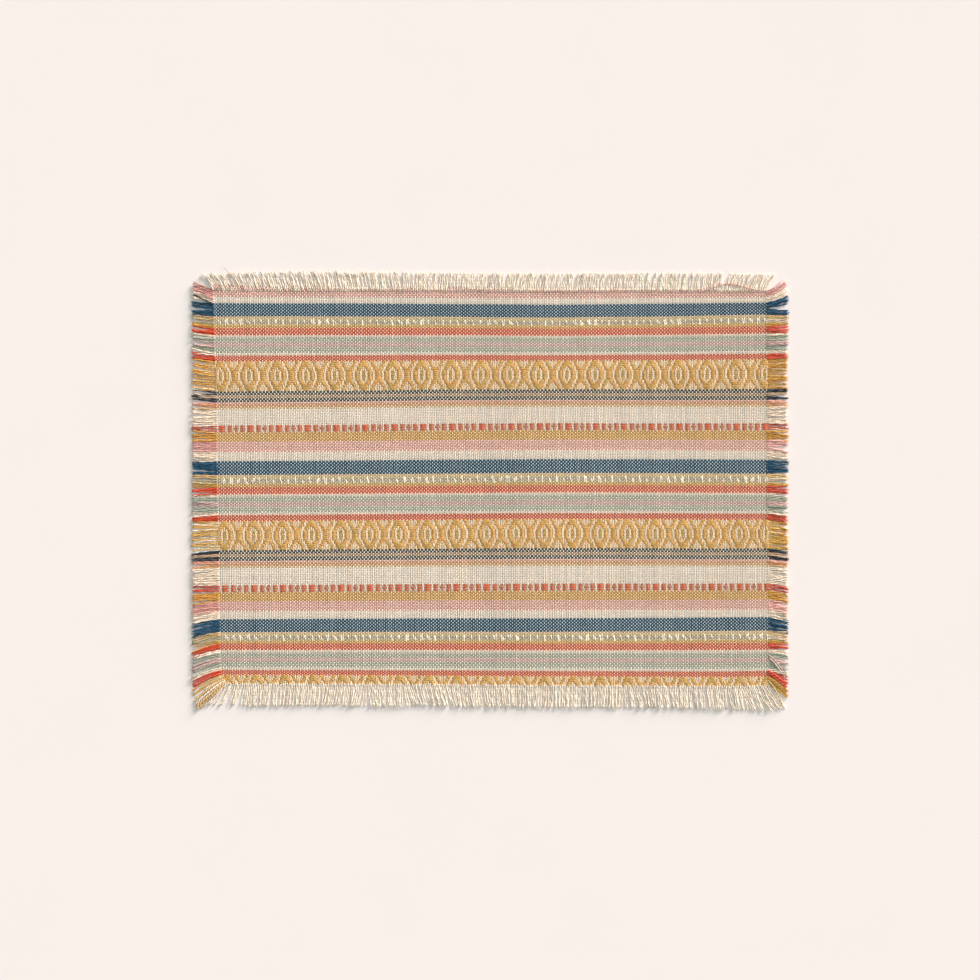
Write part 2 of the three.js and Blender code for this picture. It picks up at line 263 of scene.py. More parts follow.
# How much the ends' tone, and the picks' tone and warmth in the eyes and elsewhere, change from one
# crossing to the next, and how much lighter the ticks are
WARP_WEAR = 0.08
WEFT_WEAR = (0.17, 0.1)
WARMTH = (0.16, 0.03)
WARMTH_SHARES = (0.5, -0.4, -1.2)
TICK_GLOWS = (1.02, 1.34)

# Share of a neighbour's colour in a cream pick
BLEED = 0.15

# How much darker the yarns' edges are, as painted shade where the yarns meet, and the shares of that in red,
# green and blue, most in blue so that the painted shade is warm
WARP_EDGE_SHADE = 0.4
WEFT_EDGE_SHADE = 0.36
EDGE_SHADE_SHARES = (0.9, 1.0, 1.12)

# Length in which the grooves between the plies turn once, and the range that noise values mostly keep to
PLY_TURN = 2.6
NOISE_RANGE = (0.3, 0.7)

# The outer picks at the far edge change their tone along their length: the wavelength and by how much
EDGE_PICKS = 3
EDGE_TONE = (70.0, 0.22)

# Cloth body under the yarns
BODY_TOP = 0.7
BODY_COLUMNS = 24
RIM_INSET = 0.35

# Room round the faces in the bake maps, and the strip for the body's top and the share for its rest
MAP_EDGE = 0.002
MAP_ROWS = 4
MAP_GAPS = (0.08, 0.03)
TOP_STRIP = (0.91, 0.085)
REST_SHARE = 0.9

# The fringes. "at" is the place along the side, "lean" the angle in degrees from straight out, positive
# towards +X or +Y, and "trim" the line on which the yarn ends are cut. "root" says how far inside the edge
# of the cloth the ends start, and how high, and "glow" is painted light: by how much the ends are painted
# lighter or darker at the root and the tip.
FRINGES = {
    "back": dict(
        outward=(0, 1), locks=76, first=-220.6, last=221.4, unruly=4.6, sway=0.8, root=(0.9, 1.3),
        glow=(1.32, 0.94), partings=((89, 2.6), (189, 6.5), (-30, 1.6), (-62, 1.8)),
        rows=table(
            "at lean trim",
            (-222, -36, 176.0), (-205, -26, 177.4), (-185, -17, 178.4), (-150, -14, 178.6),
            (-100, -10, 178.4), (-50, -3, 177.6), (0, 4, 177.2), (60, 9, 177.2), (110, 7, 177.4),
            (150, 4, 177.4), (185, 9, 177.2), (205, 20, 176.9), (223, 31, 176.4),
        ),
    ),
    "front": dict(
        outward=(0, -1), locks=76, first=-213.2, last=223.4, unruly=2.4, sway=0.45, root=(0.9, 1.2),
        glow=(1.1, 1.12), partings=(),
        rows=table(
            "at lean trim",
            (-216, -40, -171.4), (-203, -24, -171.6), (-199, -18, -171.8), (-195, -2, -173.2),
            (-150, -8, -172.6), (-102, -10, -172.8), (-97, 8, -173.2), (-73, -1, -173.6), (-66, 19, -172.4),
            (-20, 8, -173.6), (50, 0, -174.0), (108, -3, -174.2), (113, 14, -174.0), (135, 6, -174.4),
            (190, 6, -175.4), (210, 20, -176.6), (226, 34, -174.6),
        ),
    ),
    "left": dict(
        outward=(-1, 0), locks=56, first=161.4, last=-151.6, unruly=2.4, sway=0.45, root=(1.2, 0.95),
        glow=(1.0, 1.0), partings=((146.3, 0.8), (57, 1.2)),
        rows=table(
            "at lean trim",
            (164, 23, -239.4), (156, 15, -239.2), (150, 5, -240.2), (138, 3, -239.9), (126, 10, -239.6),
            (108, 10, -239.8), (92, 7, -239.6), (60, 1, -239.9), (0, 0, -239.8), (-40, -2, -240.2),
            (-80, -4, -239.8), (-105, -11, -239.6), (-122, -17, -239.6), (-140, -21, -240.0),
            (-149, -29, -239.2), (-156, -40, -236.6),
        ),
    ),
    "right": dict(
        outward=(1, 0), locks=56, first=159.6, last=-153.2, unruly=2.4, sway=0.6, root=(1.2, 0.95),
        glow=(1.0, 1.0), partings=(
            (148.2, 5.6), (124.1, 2.2), (95.9, 2.4), (36.3, 4.0), (23.4, 2.2), (-112.8, 2.6), (-126.5, 3.0),
        ),
        rows=table(
            "at lean trim",
            (163, 36, 238.6), (158, 31, 239.6), (154, 14, 240.6), (147, 5, 241.4), (130, 1, 241.3),
            (110, 1, 240.6), (90, 3, 240.2), (60, -2, 241.0), (30, -4, 241.0), (5, 1, 240.8),
            (-20, -8, 240.4), (-50, -5, 241.0), (-80, -13, 240.6), (-115, -9, 240.8), (-130, -3, 241.0),
            (-143, -14, 240.6), (-155, -37, 240.6),
        ),
    ),
}
ROOT_UNEVENNESS = 0.14
LEAN_UNEVENNESS = 2.2
UNEVEN_WAVES = ((0.6, 2.399, 1.0), (0.4, 0.831, 2.7))
TRIM_UNEVENNESS = (-0.9, 0.5)
PARTING_REACH = 5.0
SWAY = (0.6, 0.4)
SWAY_LENGTH = 1.4
TIP_SQUEEZE = 0.74
TIP_LIFT = 2.2
TIP_LIFTS = (1.3, 2.2)
MIDDLE_LIFT = 0.35
# Painted light: the yarn ends and the loose yarns are painted lighter, for light thrown back onto them by
# the floor
END_PAINTED_LIGHT = 1.12
END_STATIONS = 11
# Painted shade at the edges of the yarn ends
END_EDGE_SHADE = 0.2
SHORT_END_COVER = 0.58
LEAST_END = 0.32

# Powers of the share of an end's length by which these grow along it
POWERS = {"squeeze": 1.2, "wander": 1.3, "parting": 1.1, "fall": 1.8, "lift": 2.5}

# The two plies of a yarn: shares of its radius, how they open and taper at the cut (from which share of
# the length on, over what share, and by how much) and the room between them and the table
PLY_SIDES = 4
PLY_RADIUS = 0.58
PLY_DISTANCE = 0.5
PLY_OPENING = (0.78, 0.22, 1.3)
PLY_TAPER = (0.9, 0.1, -0.55)
PLY_ROOM = 0.02

# The far fringe is painted browner and darker at its roots, mostly towards the left: partly brown fuzz,
# partly painted shade between the ends
ROOT_FUZZ_AND_SHADE = (212, 156, 136)
ROOT_SHARE = table(
    "x share",
    (-224, 0.62), (-190, 0.45), (-130, 0.3), (-60, 0.3), (60, 0.25), (150, 0.2), (224, 0.15),
)
ROOT_SHARES = (-0.4, 1.6)
ROOT_REACH = 0.32

# How the yarns' tones differ at the short sides: those of the plain stripes by name, and those of the
# figured bands, the last of which is cut off
FIGURE_BANDS = ("first figures", "second figures", "cut figures")
SIDE_TINTS = {
    "left": {
        "cream": (0.93, 0.87, 0.83),
        "coral": (0.95, 0.77, 0.59),
        "apricot": (0.91, 0.9, 0.88),
        "olive": (0.88, 0.87, 0.84),
        "stone": (0.84, 0.78, 0.69),
        "first figures": (1.06, 1.09, 1.08),
        "second figures": (1.09, 1.27, 1.63),
        "cut figures": (1.11, 1.39, 2.17),
    },
    "right": {
        "cream": (0.91, 0.865, 0.825),
        "pink": (1.16, 1.31, 1.35),
        "stone": (1.35, 1.22, 1.17),
        "first figures": (0.9, 0.8, 0.5),
        "second figures": (1.05, 1.11, 0.96),
        "cut figures": (1.01, 0.95, 0.67),
    },
}

# Yarns that have worked loose: the fringe that each lies in, the yarn, its thickness and the points that
# it passes. Each falls from its root to its tip, with a low arch between.
LOOSE_YARNS = (
    ("back", "pink", 0.6, (
        (169.7, 161.6), (178.5, 163.6), (184.2, 166.8), (189.8, 168.5), (197.9, 167.6), (207.5, 164.8),
        (215.6, 162.6), (224.0, 161.4), (227.7, 163.0), (231.7, 166.4), (235.8, 170.9),
    )),
    ("right", "pink", 0.9, ((223.5, 160.6), (228.6, 162.4), (233.0, 166.0), (237.8, 169.4))),
    ("left", "pink", 0.9, ((-222.0, 155.6), (-226.4, 157.4), (-231.0, 159.8), (-237.4, 161.6))),
    ("left", "pink", 0.6, ((-222.4, 156.4), (-227.0, 159.4), (-232.5, 162.4), (-238.6, 161.4))),
    ("left", "brown", 0.45, ((-219.0, 163.6), (-225.5, 162.2), (-231.3, 163.4), (-238.6, 166.2))),
    ("back", "brown", 0.25, ((-206.0, 165.0), (-207.1, 171.7), (-210.8, 178.0), (-215.2, 182.4))),
    ("left", "navy", 1.1, ((-222.0, 151.6), (-226.8, 153.6), (-232.5, 156.4), (-238.8, 159.3))),
    ("right", "blue", 1.3, ((223.5, 149.6), (229.3, 152.0), (236.2, 154.9), (239.8, 158.2))),
    ("right", "mustard", 1.2, ((224.4, -148.6), (229.0, -151.6), (234.0, -155.6), (239.2, -160.6))),
    ("right", "mustard", 1.1, ((224.4, -149.8), (229.4, -153.4), (234.6, -158.0), (238.8, -162.2))),
    ("right", "coral", 1.7, ((224.6, -143.6), (230.0, -147.0), (235.0, -151.0), (240.0, -155.4))),
    ("right", "coral", 1.7, ((224.6, -144.8), (229.6, -148.8), (234.6, -153.0), (239.6, -157.6))),
    ("right", "olive", 1.2, ((224.4, -151.6), (228.6, -156.0), (232.2, -163.0), (236.2, -171.8))),
    ("right", "ash", 1.2, ((225.4, -131.4), (229.6, -134.6), (234.4, -141.0), (240.0, -148.8))),
    ("right", "cream", 1.0, ((225.4, -133.0), (229.0, -136.4), (233.6, -142.6), (238.8, -149.6))),
    ("left", "apricot", 1.8, ((-213.0, -152.2), (-219.0, -156.8), (-226.0, -163.4), (-236.2, -172.0))),
    ("left", "cream", 1.5, ((-213.0, -151.2), (-219.6, -155.4), (-227.0, -161.4), (-236.6, -170.2))),
    ("left", "apricot", 1.8, ((-213.4, -150.4), (-220.6, -154.0), (-228.0, -159.6), (-237.2, -168.2))),
    ("left", "apricot", 1.9, ((-212.8, -152.8), (-219.0, -157.6), (-226.0, -164.2), (-236.2, -173.4))),
    ("left", "apricot", 1.8, ((-212.6, -153.6), (-218.2, -158.9), (-225.0, -165.8), (-235.4, -175.0))),
    ("left", "cream", 1.1, ((-212.6, -154.6), (-217.0, -159.4), (-223.0, -166.4), (-230.4, -172.8))),
    ("left", "coral", 1.2, ((-217.0, -146.4), (-224.0, -148.4), (-231.0, -152.4), (-238.4, -159.4))),
)
LOOSE_STATIONS = 36
LOOSE_HEIGHT = 1.7
LOOSE_FALL = 0.5
LOOSE_ARCH = 0.5
LOOSE_LAY = 6.0

# The two outermost picks of the far edge have slipped out among the fringe's roots by these distances,
# and wave up and down between the yarn ends
SLIPPED_PICKS = {
    "brown": table(
        "x out",
        (-222, 3.6), (-205, 3.0), (-190, 2.4), (-160, 1.8), (-130, 1.2), (-100, 0.8), (-74, 0.5), (-62, 1.8),
        (-50, 0.5), (-40, 0.2), (-34, 2.4), (-20, 2.2), (-10, 0.8), (8, 1.2), (30, 0.4), (80, 0.6),
        (110, 0.3), (150, 0.8), (180, 0.4), (222, 0.2),
    ),
    "pink": table(
        "x out",
        (-222, 1.8), (-200, 1.4), (-170, 0.8), (-140, 0.5), (-100, 0.4), (-40, 0.5), (-25, 1.2), (0, 0.5),
        (60, 0.3), (120, 0.6), (165, 0.4), (176, 2.6), (186, 5.4), (196, 5.2), (206, 2.6), (216, 0.6),
        (222, 0.3),
    ),
}
SLIPPED_THICKNESS = 0.55
SLIPPED_SLANT = 0.28
SLIPPED_WANDER = 0.15
SLIPPED_HEIGHT = 1.0
SLIPPED_WAVE = 0.9
SLIPPED_LAY = 5.0
# Painted light: the slipped picks are painted lighter than their yarns
SLIPPED_PAINTED_LIGHT = (1.4, 1.36, 1.3)


def read(rows, key, at, column):
    """A column of a table at places between its rows."""
    return np.interp(at, rows[key], rows[column])


def stray(x, y):
    """How far the cloth's line at level y strays from straight at x."""
    lines = list(LINE_LEVELS)
    shift = read(LINE_STRAY, "x", x, lines[0])
    for low, high in zip(lines, lines[1:]):
        share = (y - LINE_LEVELS[low]) / (LINE_LEVELS[high] - LINE_LEVELS[low])
        step = read(LINE_STRAY, "x", x, high) - read(LINE_STRAY, "x", x, low)
        shift = shift + np.clip(share, 0, 1) * step
    return shift


def place(x, y):
    """Where points of the straight, nominal cloth come to lie on the real one."""
    real_y = y + stray(x, y)
    left = read(SHORT_EDGES, "y", real_y, "left") / NOMINAL_LEFT
    right = read(SHORT_EDGES, "y", real_y, "right") / NOMINAL_RIGHT
    return x * np.where(x < 0, left, right), real_y


def warp_places(end_x, levels):
    """Nominal places of the warp ends at many levels, kept inside the cloth's short edges."""
    near = read(WARP_STRAY, "x", end_x, "near")[:, None]
    far = read(WARP_STRAY, "x", end_x, "far")[:, None]
    share = np.clip((levels - FIGURE_LEVELS[0]) / (FIGURE_LEVELS[1] - FIGURE_LEVELS[0]), 0, 1)
    share = share * share * (3 - 2 * share)
    x = end_x[:, None] + near + (far - near) * share[None, :]
    count = np.arange(len(end_x))[:, None]
    x = np.maximum(x, NOMINAL_LEFT + EDGE_ROOM + LEAST_PITCH * count)
    return np.minimum(x, NOMINAL_RIGHT - EDGE_ROOM - LEAST_PITCH * (len(end_x) - 1 - count))


def to_frame(points):
    """Points of the tables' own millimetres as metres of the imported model."""
    low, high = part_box("cloth")
    far = LINE_LEVELS["back"] + LINE_STRAY["back"].max()
    shift = (low.x / MM - SHORT_EDGES["left"].min(), high.y / MM - far, 0)
    return (points + np.array(shift)) * MM


def draws(name, side=None):
    """The random draws of one set of yarns, or of one side's."""
    step = 0 if side is None else list(FRINGES).index(side)
    return np.random.default_rng(SEEDS[name] + step)


def waves(rng, yarns, places, wavelength, amplitude):
    """A slow wander for each of many yarns, as a sum of three sines with phases drawn at random."""
    total = np.zeros((yarns, len(places)))
    for part in WAVE_PARTS:
        phase = rng.uniform(0, 2 * math.pi, (yarns, 1))
        total += np.sin(2 * math.pi * places[None, :] * part / wavelength + phase) / part
    return amplitude * total / 2


def runs(marked):
    """Where each run of marked picks starts and stops."""
    return np.flatnonzero(np.diff(np.concatenate([[0], marked, [0]]))).reshape(-1, 2)


def stripes():
    """All stripes from the far edge on, the last of them cut off in its figures."""
    found = list(FAR_STRIPES)
    for turn in range(3):
        for figure, yarn, picks, heights in REPEAT:
            if turn < len(heights):
                cut = turn == 2 and figure == "eye"
                found.append((figure, yarn, CUT_EYE_PICKS if cut else picks, heights[turn]))
    return found


def shares(figure, picks):
    """How the picks of a stripe share its height."""
    weights = np.resize((PATTERN_SHARE, GROUND_SHARE) if figure in FIGURED else (1.0,), picks)
    return weights / weights.sum()


class Draft:
    """The weaver's draft: places, yarns and crossings of all warp ends and picks."""

    def __init__(self, yarns):
        self.ends = np.arange(WARP_ENDS)
        self.end_x = FIRST_EYE_X + WARP_PITCH * (self.ends - FIRST_EYE_END)
        self.steps = (self.ends - FIRST_EYE_END + EYE_ENDS // 2) % EYE_ENDS - EYE_ENDS // 2
        self.tick_ends = (self.ends - FIRST_EYE_END) % TICK_ENDS == 0
        beat, least = WIDE_TICKS
        self.tick_ends |= np.roll(self.tick_ends, 1) & (np.sin(beat * self.ends) > least)
        self.lay_picks(yarns)
        self.picks = len(self.levels)
        self.eyes = self.figures == "eye"
        self.figured = np.isin(self.figures, FIGURED)
        self.ticks = np.char.startswith(self.figures, "tick")
        self.creams = (self.names == "cream") & ~self.figured
        self.bleed(self.colours)
        self.bleed(self.over_colours)
        rng = draws("draft")
        draw = self.ring_draw() + self.tick_slant(rng)
        self.steady_x = warp_places(self.end_x, self.levels)
        jitter = EYE_JITTER * rng.normal(0, 1, draw.shape) * self.eyes
        self.real_x = self.steady_x + waves(rng, WARP_ENDS, self.levels, *WARP_WANDER) + draw + jitter
        self.real_y = self.levels[:, None] + waves(rng, self.picks, self.end_x, *WEFT_WANDER)

    def lay_picks(self, yarns):
        """Level, height, figure, yarn, colours and crossings of every pick, from the far edge on."""
        level = LINE_LEVELS["back"]
        found = stripes()
        scale = (level - LINE_LEVELS["front"]) / sum(height for _, _, _, height in found)
        picks = []
        for figure, yarn, count, height in found:
            for pick, share in enumerate(shares(figure, count)):
                tall = share * height * scale
                own, woven, over = yarns[yarn]
                if figure == "eye":
                    _, woven, over = yarns["float"]
                ground = figure in FIGURED and pick % 2 == 1
                if ground:
                    own, woven = yarns["cream"][0], over
                name = "cream" if ground else yarn
                crossings = self.crossings(figure, pick, len(picks) + 1)
                picks.append((level - tall / 2, tall, figure, name, ground, own, woven, over, *crossings))
                level -= tall
        columns = [np.array(column) for column in zip(*picks)]
        self.levels, self.heights, self.figures, self.names, self.grounds = columns[:5]
        self.end_colours, self.colours, self.over_colours = columns[5:8]
        self.warp_up, self.covered, self.floats = (column.T for column in columns[8:])

    def bleed(self, colours):
        """Lets the cream picks take on a little of the coloured picks beside them."""
        clean = colours.copy()
        for pick in np.flatnonzero(self.creams):
            for beside in (pick - 1, pick + 1):
                if not self.creams[beside]:
                    colours[pick] += BLEED * (clean[beside] - clean[pick])

    def group(self, name):
        """The picks of the plain stripes of a yarn, or of one of the three figured bands."""
        if name in FIGURE_BANDS:
            band = (np.cumsum(self.eyes) - 1) // EYE_PICKS
            return self.eyes & (band == FIGURE_BANDS.index(name))
        return (self.names == name) & ~self.figured

    def edge_places(self, edge):
        """Where the warp ends leave the cloth at its far or near edge."""
        level = LINE_LEVELS[edge]
        return place(warp_places(self.end_x, np.array([level]))[:, 0], np.full(WARP_ENDS, level))

    def crossings(self, figure, pick, number):
        """Where the warp is on top of a pick, where its neighbours hide it and where the pick floats."""
        plain = (self.ends + number) % 2 == 0
        bare = np.zeros(WARP_ENDS, bool)
        if figure == "plain":
            return plain, bare, bare
        if figure == "tick":
            return plain | self.tick_ends, bare, bare
        if figure == "tick edge":
            long_tick = self.tick_ends & (np.sin(2.4 * self.ends + number) > 0)
            return plain | long_tick, bare, bare
        chart = EYE_CHART if figure == "eye" else DASH_CHART
        row = pick // 2
        halftone = (self.ends + row) % 2 == 0
        if figure == "eye":
            row = min(row, 2 * len(chart) - 2 - row)
        marks = np.array([chart[row][step] for step in np.abs(self.steps)])
        if pick % 2 == 1:
            return halftone, marks == ".", bare
        return (marks == "#") | ((marks == "+") & halftone), bare, marks == "."

    def ring_draw(self):
        """How far the ends in the figures' rings are drawn towards each other, in millimetres."""
        bundled = self.warp_up & self.figured & ~self.grounds
        right, left = (bundled & np.roll(bundled, step, axis=0) for step in (-1, 1))
        draw = RING_DRAW * (right.astype(float) - left)
        smooth = draw.copy()
        for step in (-2, -1, 1, 2):
            smooth += np.roll(draw, step, axis=1)
        return np.where(self.figured, smooth / RING_SMOOTHING, 0)

    def tick_slant(self, rng):
        """How far the long ends of the ticks stray to the side as they cross their few picks."""
        slant = np.zeros((WARP_ENDS, self.picks))
        for start, stop in runs(self.ticks):
            lean = rng.uniform(*TICK_LEANS, WARP_ENDS) * TICK_SLANT * self.tick_ends
            slant[:, start:stop] = lean[:, None] * np.array(TICK_PLACES)
        return slant

    def band_rise(self):
        """How far the figured bands stand above the plain cloth, at each crossing."""
        rise = np.where(self.figured, BAND_RISE, np.zeros((WARP_ENDS, self.picks)))
        across = 2 * self.steps / EYE_ENDS
        full = 2 * (len(EYE_CHART) * 2 - 1)
        for start, stop in runs(self.eyes):
            up = 2 * (np.arange(stop - start) + 0.5) / full - 1
            lens = 1 - across[:, None] ** 2 - up[None, :] ** 2
            rise[:, start:stop] += EYE_RISE * np.clip(lens, 0, None)
        return rise

    def crown_heights(self):
        """Heights of the warp's and the weft's crowns at each crossing, in millimetres."""
        rise = self.band_rise()
        dip = np.where(self.grounds & ~self.covered, RING_DIP, 0)
        top_weft = np.where(self.covered, COVERED_CROWN, WEFT_CROWN - dip)
        top_warp = np.where(self.covered, UNDER_CROWN, WARP_CROWN - dip)
        warp = np.where(self.warp_up, top_warp + rise, np.where(self.creams, CREAM_UNDER, UNDER_CROWN))
        weft = np.where(self.warp_up, UNDER_CROWN, top_weft + rise)
        return warp, weft


def build_mesh(name, points, faces, vectors=None, colours=None, bake_map=None):
    """A mesh object from arrays of points and four-cornered faces, with its attributes and bake map."""
    mesh = bpy.data.meshes.new(name)
    mesh.vertices.add(len(points))
    mesh.vertices.foreach_set("co", np.asarray(points, np.float32).ravel())
    corners = faces.ravel()
    mesh.loops.add(len(corners))
    mesh.loops.foreach_set("vertex_index", corners.astype(np.int32))
    mesh.polygons.add(len(faces))
    mesh.polygons.foreach_set("loop_start", np.arange(0, len(corners), 4, dtype=np.int32))
    mesh.polygons.foreach_set("use_smooth", np.ones(len(faces), bool))
    mesh.update(calc_edges=True)
    for key, values in (vectors or {}).items():
        layer = mesh.attributes.new(key, "FLOAT_VECTOR", "POINT")
        layer.data.foreach_set("vector", np.asarray(values, np.float32).ravel())
    if colours is not None:
        layer = mesh.attributes.new("yarn_colour", "FLOAT_COLOR", "POINT")
        full = np.concatenate([colours, np.ones((len(colours), 1))], axis=1)
        layer.data.foreach_set("color", full.astype(np.float32).ravel())
    if bake_map is not None:
        layer = mesh.uv_layers.new(name="OFBake")
        layer.uv.foreach_set("vector", bake_map[corners].astype(np.float32).ravel())
    if mesh.validate():
        raise RuntimeError(f"the mesh of {name} had faults")
    piece = bpy.data.objects.new(name, mesh)
    bpy.context.collection.objects.link(piece)
    return piece


def yarn_mesh(name, points, faces, along, across, own, colours, bake_map=None):
    """A mesh of many yarns, whose points know their places on the yarn and the yarn's own number."""
    vectors = [np.broadcast_to(values, points.shape[:-1]) for values in (along, across, own)]
    vectors = np.stack(vectors, axis=-1).reshape(-1, 3)
    shades = np.broadcast_to(colours, points.shape).reshape(-1, 3)
    points = to_frame(points.reshape(-1, 3))
    flat = fill_map(points) if bake_map is None else bake_map
    return build_mesh(name, points, faces, {"yarn": vectors}, shades, flat)


def within(share, edge):
    """A share of the whole, drawn in by an edge at both ends."""
    return edge + (1 - 2 * edge) * share


def fill_map(points):
    """A flat bake map of points seen from above, spread over the whole image."""
    flat = points[:, :2]
    return within((flat - flat.min(0)) / np.ptp(flat, axis=0), MAP_EDGE)


def grid_faces(rows, columns, count=1, closed=False):
    """Quads of count grids of points, each rows by columns, closed round the columns if asked."""
    sizes = (rows - 1, columns if closed else columns - 1, count)
    row, column, grid = np.meshgrid(*(np.arange(size) for size in sizes), indexing="ij")
    near = (grid * rows + row) * columns
    far = near + columns
    after = (column + 1) % columns
    return np.stack([near + column, near + after, far + after, far + column], axis=-1).reshape(-1, 4)


class Nodes:
    """Short ways to add nodes to one material or world."""

    def __init__(self, owner, shader="Principled BSDF"):
        owner.use_nodes = True
        self.owner = owner
        self.tree = owner.node_tree
        self.shader = self.tree.nodes[shader]

    def fill(self, node, inputs):
        """Sets inputs of a node, by name or number, to values or to links."""
        for key, value in inputs.items():
            if isinstance(value, bpy.types.NodeSocket):
                self.tree.links.new(value, node.inputs[key])
            else:
                node.inputs[key].default_value = value

    def add(self, kind, inputs=None, **settings):
        """Adds a node and gives its outputs."""
        node = self.tree.nodes.new("ShaderNode" + kind)
        for key, value in settings.items():
            setattr(node, key, value)
        self.fill(node, inputs or {})
        return node.outputs

    def math(self, operation, first, second=0.0, third=0.0):
        return self.add("Math", {0: first, 1: second, 2: third}, operation=operation)[0]

    def times(self, first, second):
        return self.math("MULTIPLY", first, second)

    def line(self, value, slope, start):
        return self.math("MULTIPLY_ADD", value, slope, start)

    def attribute(self, name, output="Vector"):
        return self.add("Attribute", attribute_name=name)[output]

    def apart(self, vector):
        return self.add("SeparateXYZ", {0: vector})

    def together(self, x, y, z):
        return self.add("CombineXYZ", {0: x, 1: y, 2: z})[0]

    def noise(self, vector, scale, detail):
        return self.add("TexNoise", {"Vector": vector, "Scale": scale, "Detail": detail})["Fac"]

    def ranged(self, value, least, most, low, high):
        """Values between least and most, carried over to a range from low to high."""
        ends = {"From Min": least, "From Max": most, "To Min": low, "To Max": high}
        return self.add("MapRange", {"Value": value, **ends})["Result"]

    def spread(self, noise, low, high):
        """Noise values near a half, spread over a range."""
        return self.ranged(noise, *NOISE_RANGE, low, high)

    def scaled(self, colour, factor):
        return self.add("VectorMath", {0: colour, "Scale": factor}, operation="SCALE")[0]

    def bump(self, height, distance, strength):
        return self.add("Bump", {"Height": height, "Distance": distance, "Strength": strength})["Normal"]


def yarn_material(name, contrast, rim):
    """Soft cotton yarn: its own colour with fibre streaks, painted shade in its ply grooves and slow changes
    of tone.

    The attribute yarn holds the millimetres along the yarn, the place across it and the yarn's own number.
    The yarn's edges are painted darker by rim, as painted shade where the yarns meet, and its crown a little
    lighter; the edges are also warmer, as painted light thrown back by the cloth.
    """
    nodes = Nodes(bpy.data.materials.new(name))
    along, across, own = nodes.apart(nodes.attribute("yarn"))
    shifted = nodes.times(own, 97.0)
    streaks = nodes.noise(nodes.together(along, nodes.times(across, 1.4), shifted), scale=1.7, detail=3.0)
    tone = nodes.noise(nodes.together(nodes.times(along, 0.05), shifted, 0.0), scale=1.0, detail=2.0)
    ply = nodes.math("SINE", nodes.line(along, 2 * math.pi / PLY_TURN, nodes.times(across, 1.5)))
    fibres = nodes.spread(streaks, 1 - contrast, 1 + contrast)
    factor = nodes.times(fibres, nodes.spread(tone, 0.93, 1.07))
    # Painted shade in the grooves between the plies
    factor = nodes.times(factor, nodes.line(ply, 0.05, 1.0))
    # Painted shade: darker and warmer towards the yarn's edges, where the yarns meet
    edge = nodes.times(across, across)
    shades = nodes.together(*(nodes.line(edge, -rim * share, 1.0 + 0.35 * rim) for share in EDGE_SHADE_SHARES))
    colour = nodes.attribute("yarn_colour", "Color")
    edge_shaded = nodes.add("VectorMath", {0: colour, 1: shades}, operation="MULTIPLY")[0]
    height = nodes.line(ply, 0.5, nodes.times(streaks, 0.8))
    shader = {
        "Base Color": nodes.scaled(edge_shaded, factor),
        "Roughness": nodes.spread(streaks, 0.8, 0.97),
        "Specular IOR Level": 0.18,
        "Sheen Weight": 0.12,
        "Sheen Roughness": 0.5,
        "Normal": nodes.bump(height, distance=0.12 * MM, strength=0.5),
    }
    nodes.fill(nodes.shader, shader)
    return nodes.owner


def body_material(name):
    """The underside and the rim: plain weave of cream ends over the picks' colours, with painted shade in
    the hollows of the weave. The top, which shows only in the gaps between the yarns, is painted half as
    bright, as painted shade under the yarns.
    """
    nodes = Nodes(bpy.data.materials.new(name))
    end, pick, side = nodes.apart(nodes.attribute("weave"))
    over = nodes.times(*(nodes.math("SINE", nodes.times(place, math.pi)) for place in (end, pick)))
    on_top = nodes.times(nodes.math("GREATER_THAN", over, 0.3), side)
    fibres = nodes.noise(nodes.together(end, pick, 0.0), scale=2.3, detail=3.0)
    height = nodes.math("ABSOLUTE", over)
    # Painted shade: darker in the hollows between crossings, and half as bright on the top under the yarns
    gap_shade = nodes.times(nodes.line(height, 0.45, 0.62), nodes.line(side, 0.5, 0.5))
    factor = nodes.times(gap_shade, nodes.spread(fibres, 0.88, 1.1))
    yarns = {"A": nodes.attribute("yarn_colour", "Color"), "B": nodes.attribute("warp_colour")}
    colour = nodes.add("Mix", {"Factor": on_top, **yarns}, data_type="RGBA")["Result"]
    shader = {
        "Base Color": nodes.scaled(colour, factor),
        "Roughness": nodes.spread(fibres, 0.85, 0.97),
        "Specular IOR Level": 0.15,
        "Normal": nodes.bump(nodes.line(height, 1.0, fibres), distance=0.3 * MM, strength=0.6),
    }
    nodes.fill(nodes.shader, shader)
    return nodes.owner


def floor_material(colour):
    """A plain pale matte floor with the faintest mottling."""
    nodes = Nodes(bpy.data.materials.new("pale_floor"))
    mottle = nodes.noise(nodes.add("TexCoord")["Object"], scale=9.0, detail=3.0)
    tint = nodes.scaled(tuple(colour), nodes.spread(mottle, 0.995, 1.005))
    nodes.fill(nodes.shader, {"Base Color": tint, "Roughness": 0.95, "Specular IOR Level": 0.05})
    return nodes.owner


def fringe_slot(side):
    """The material slot of a side's fringe."""
    return "warp_fringe" if side in ("back", "front") else "weft_fringe"


def finish_piece(piece, material, slot, *nodes):
    """Gives a piece its material and its body, and hides the solids that it stands for; the slot is not
    used.
    """
    piece.data.materials.append(material)
    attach(piece, BODY)
    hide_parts(*nodes)
    return piece


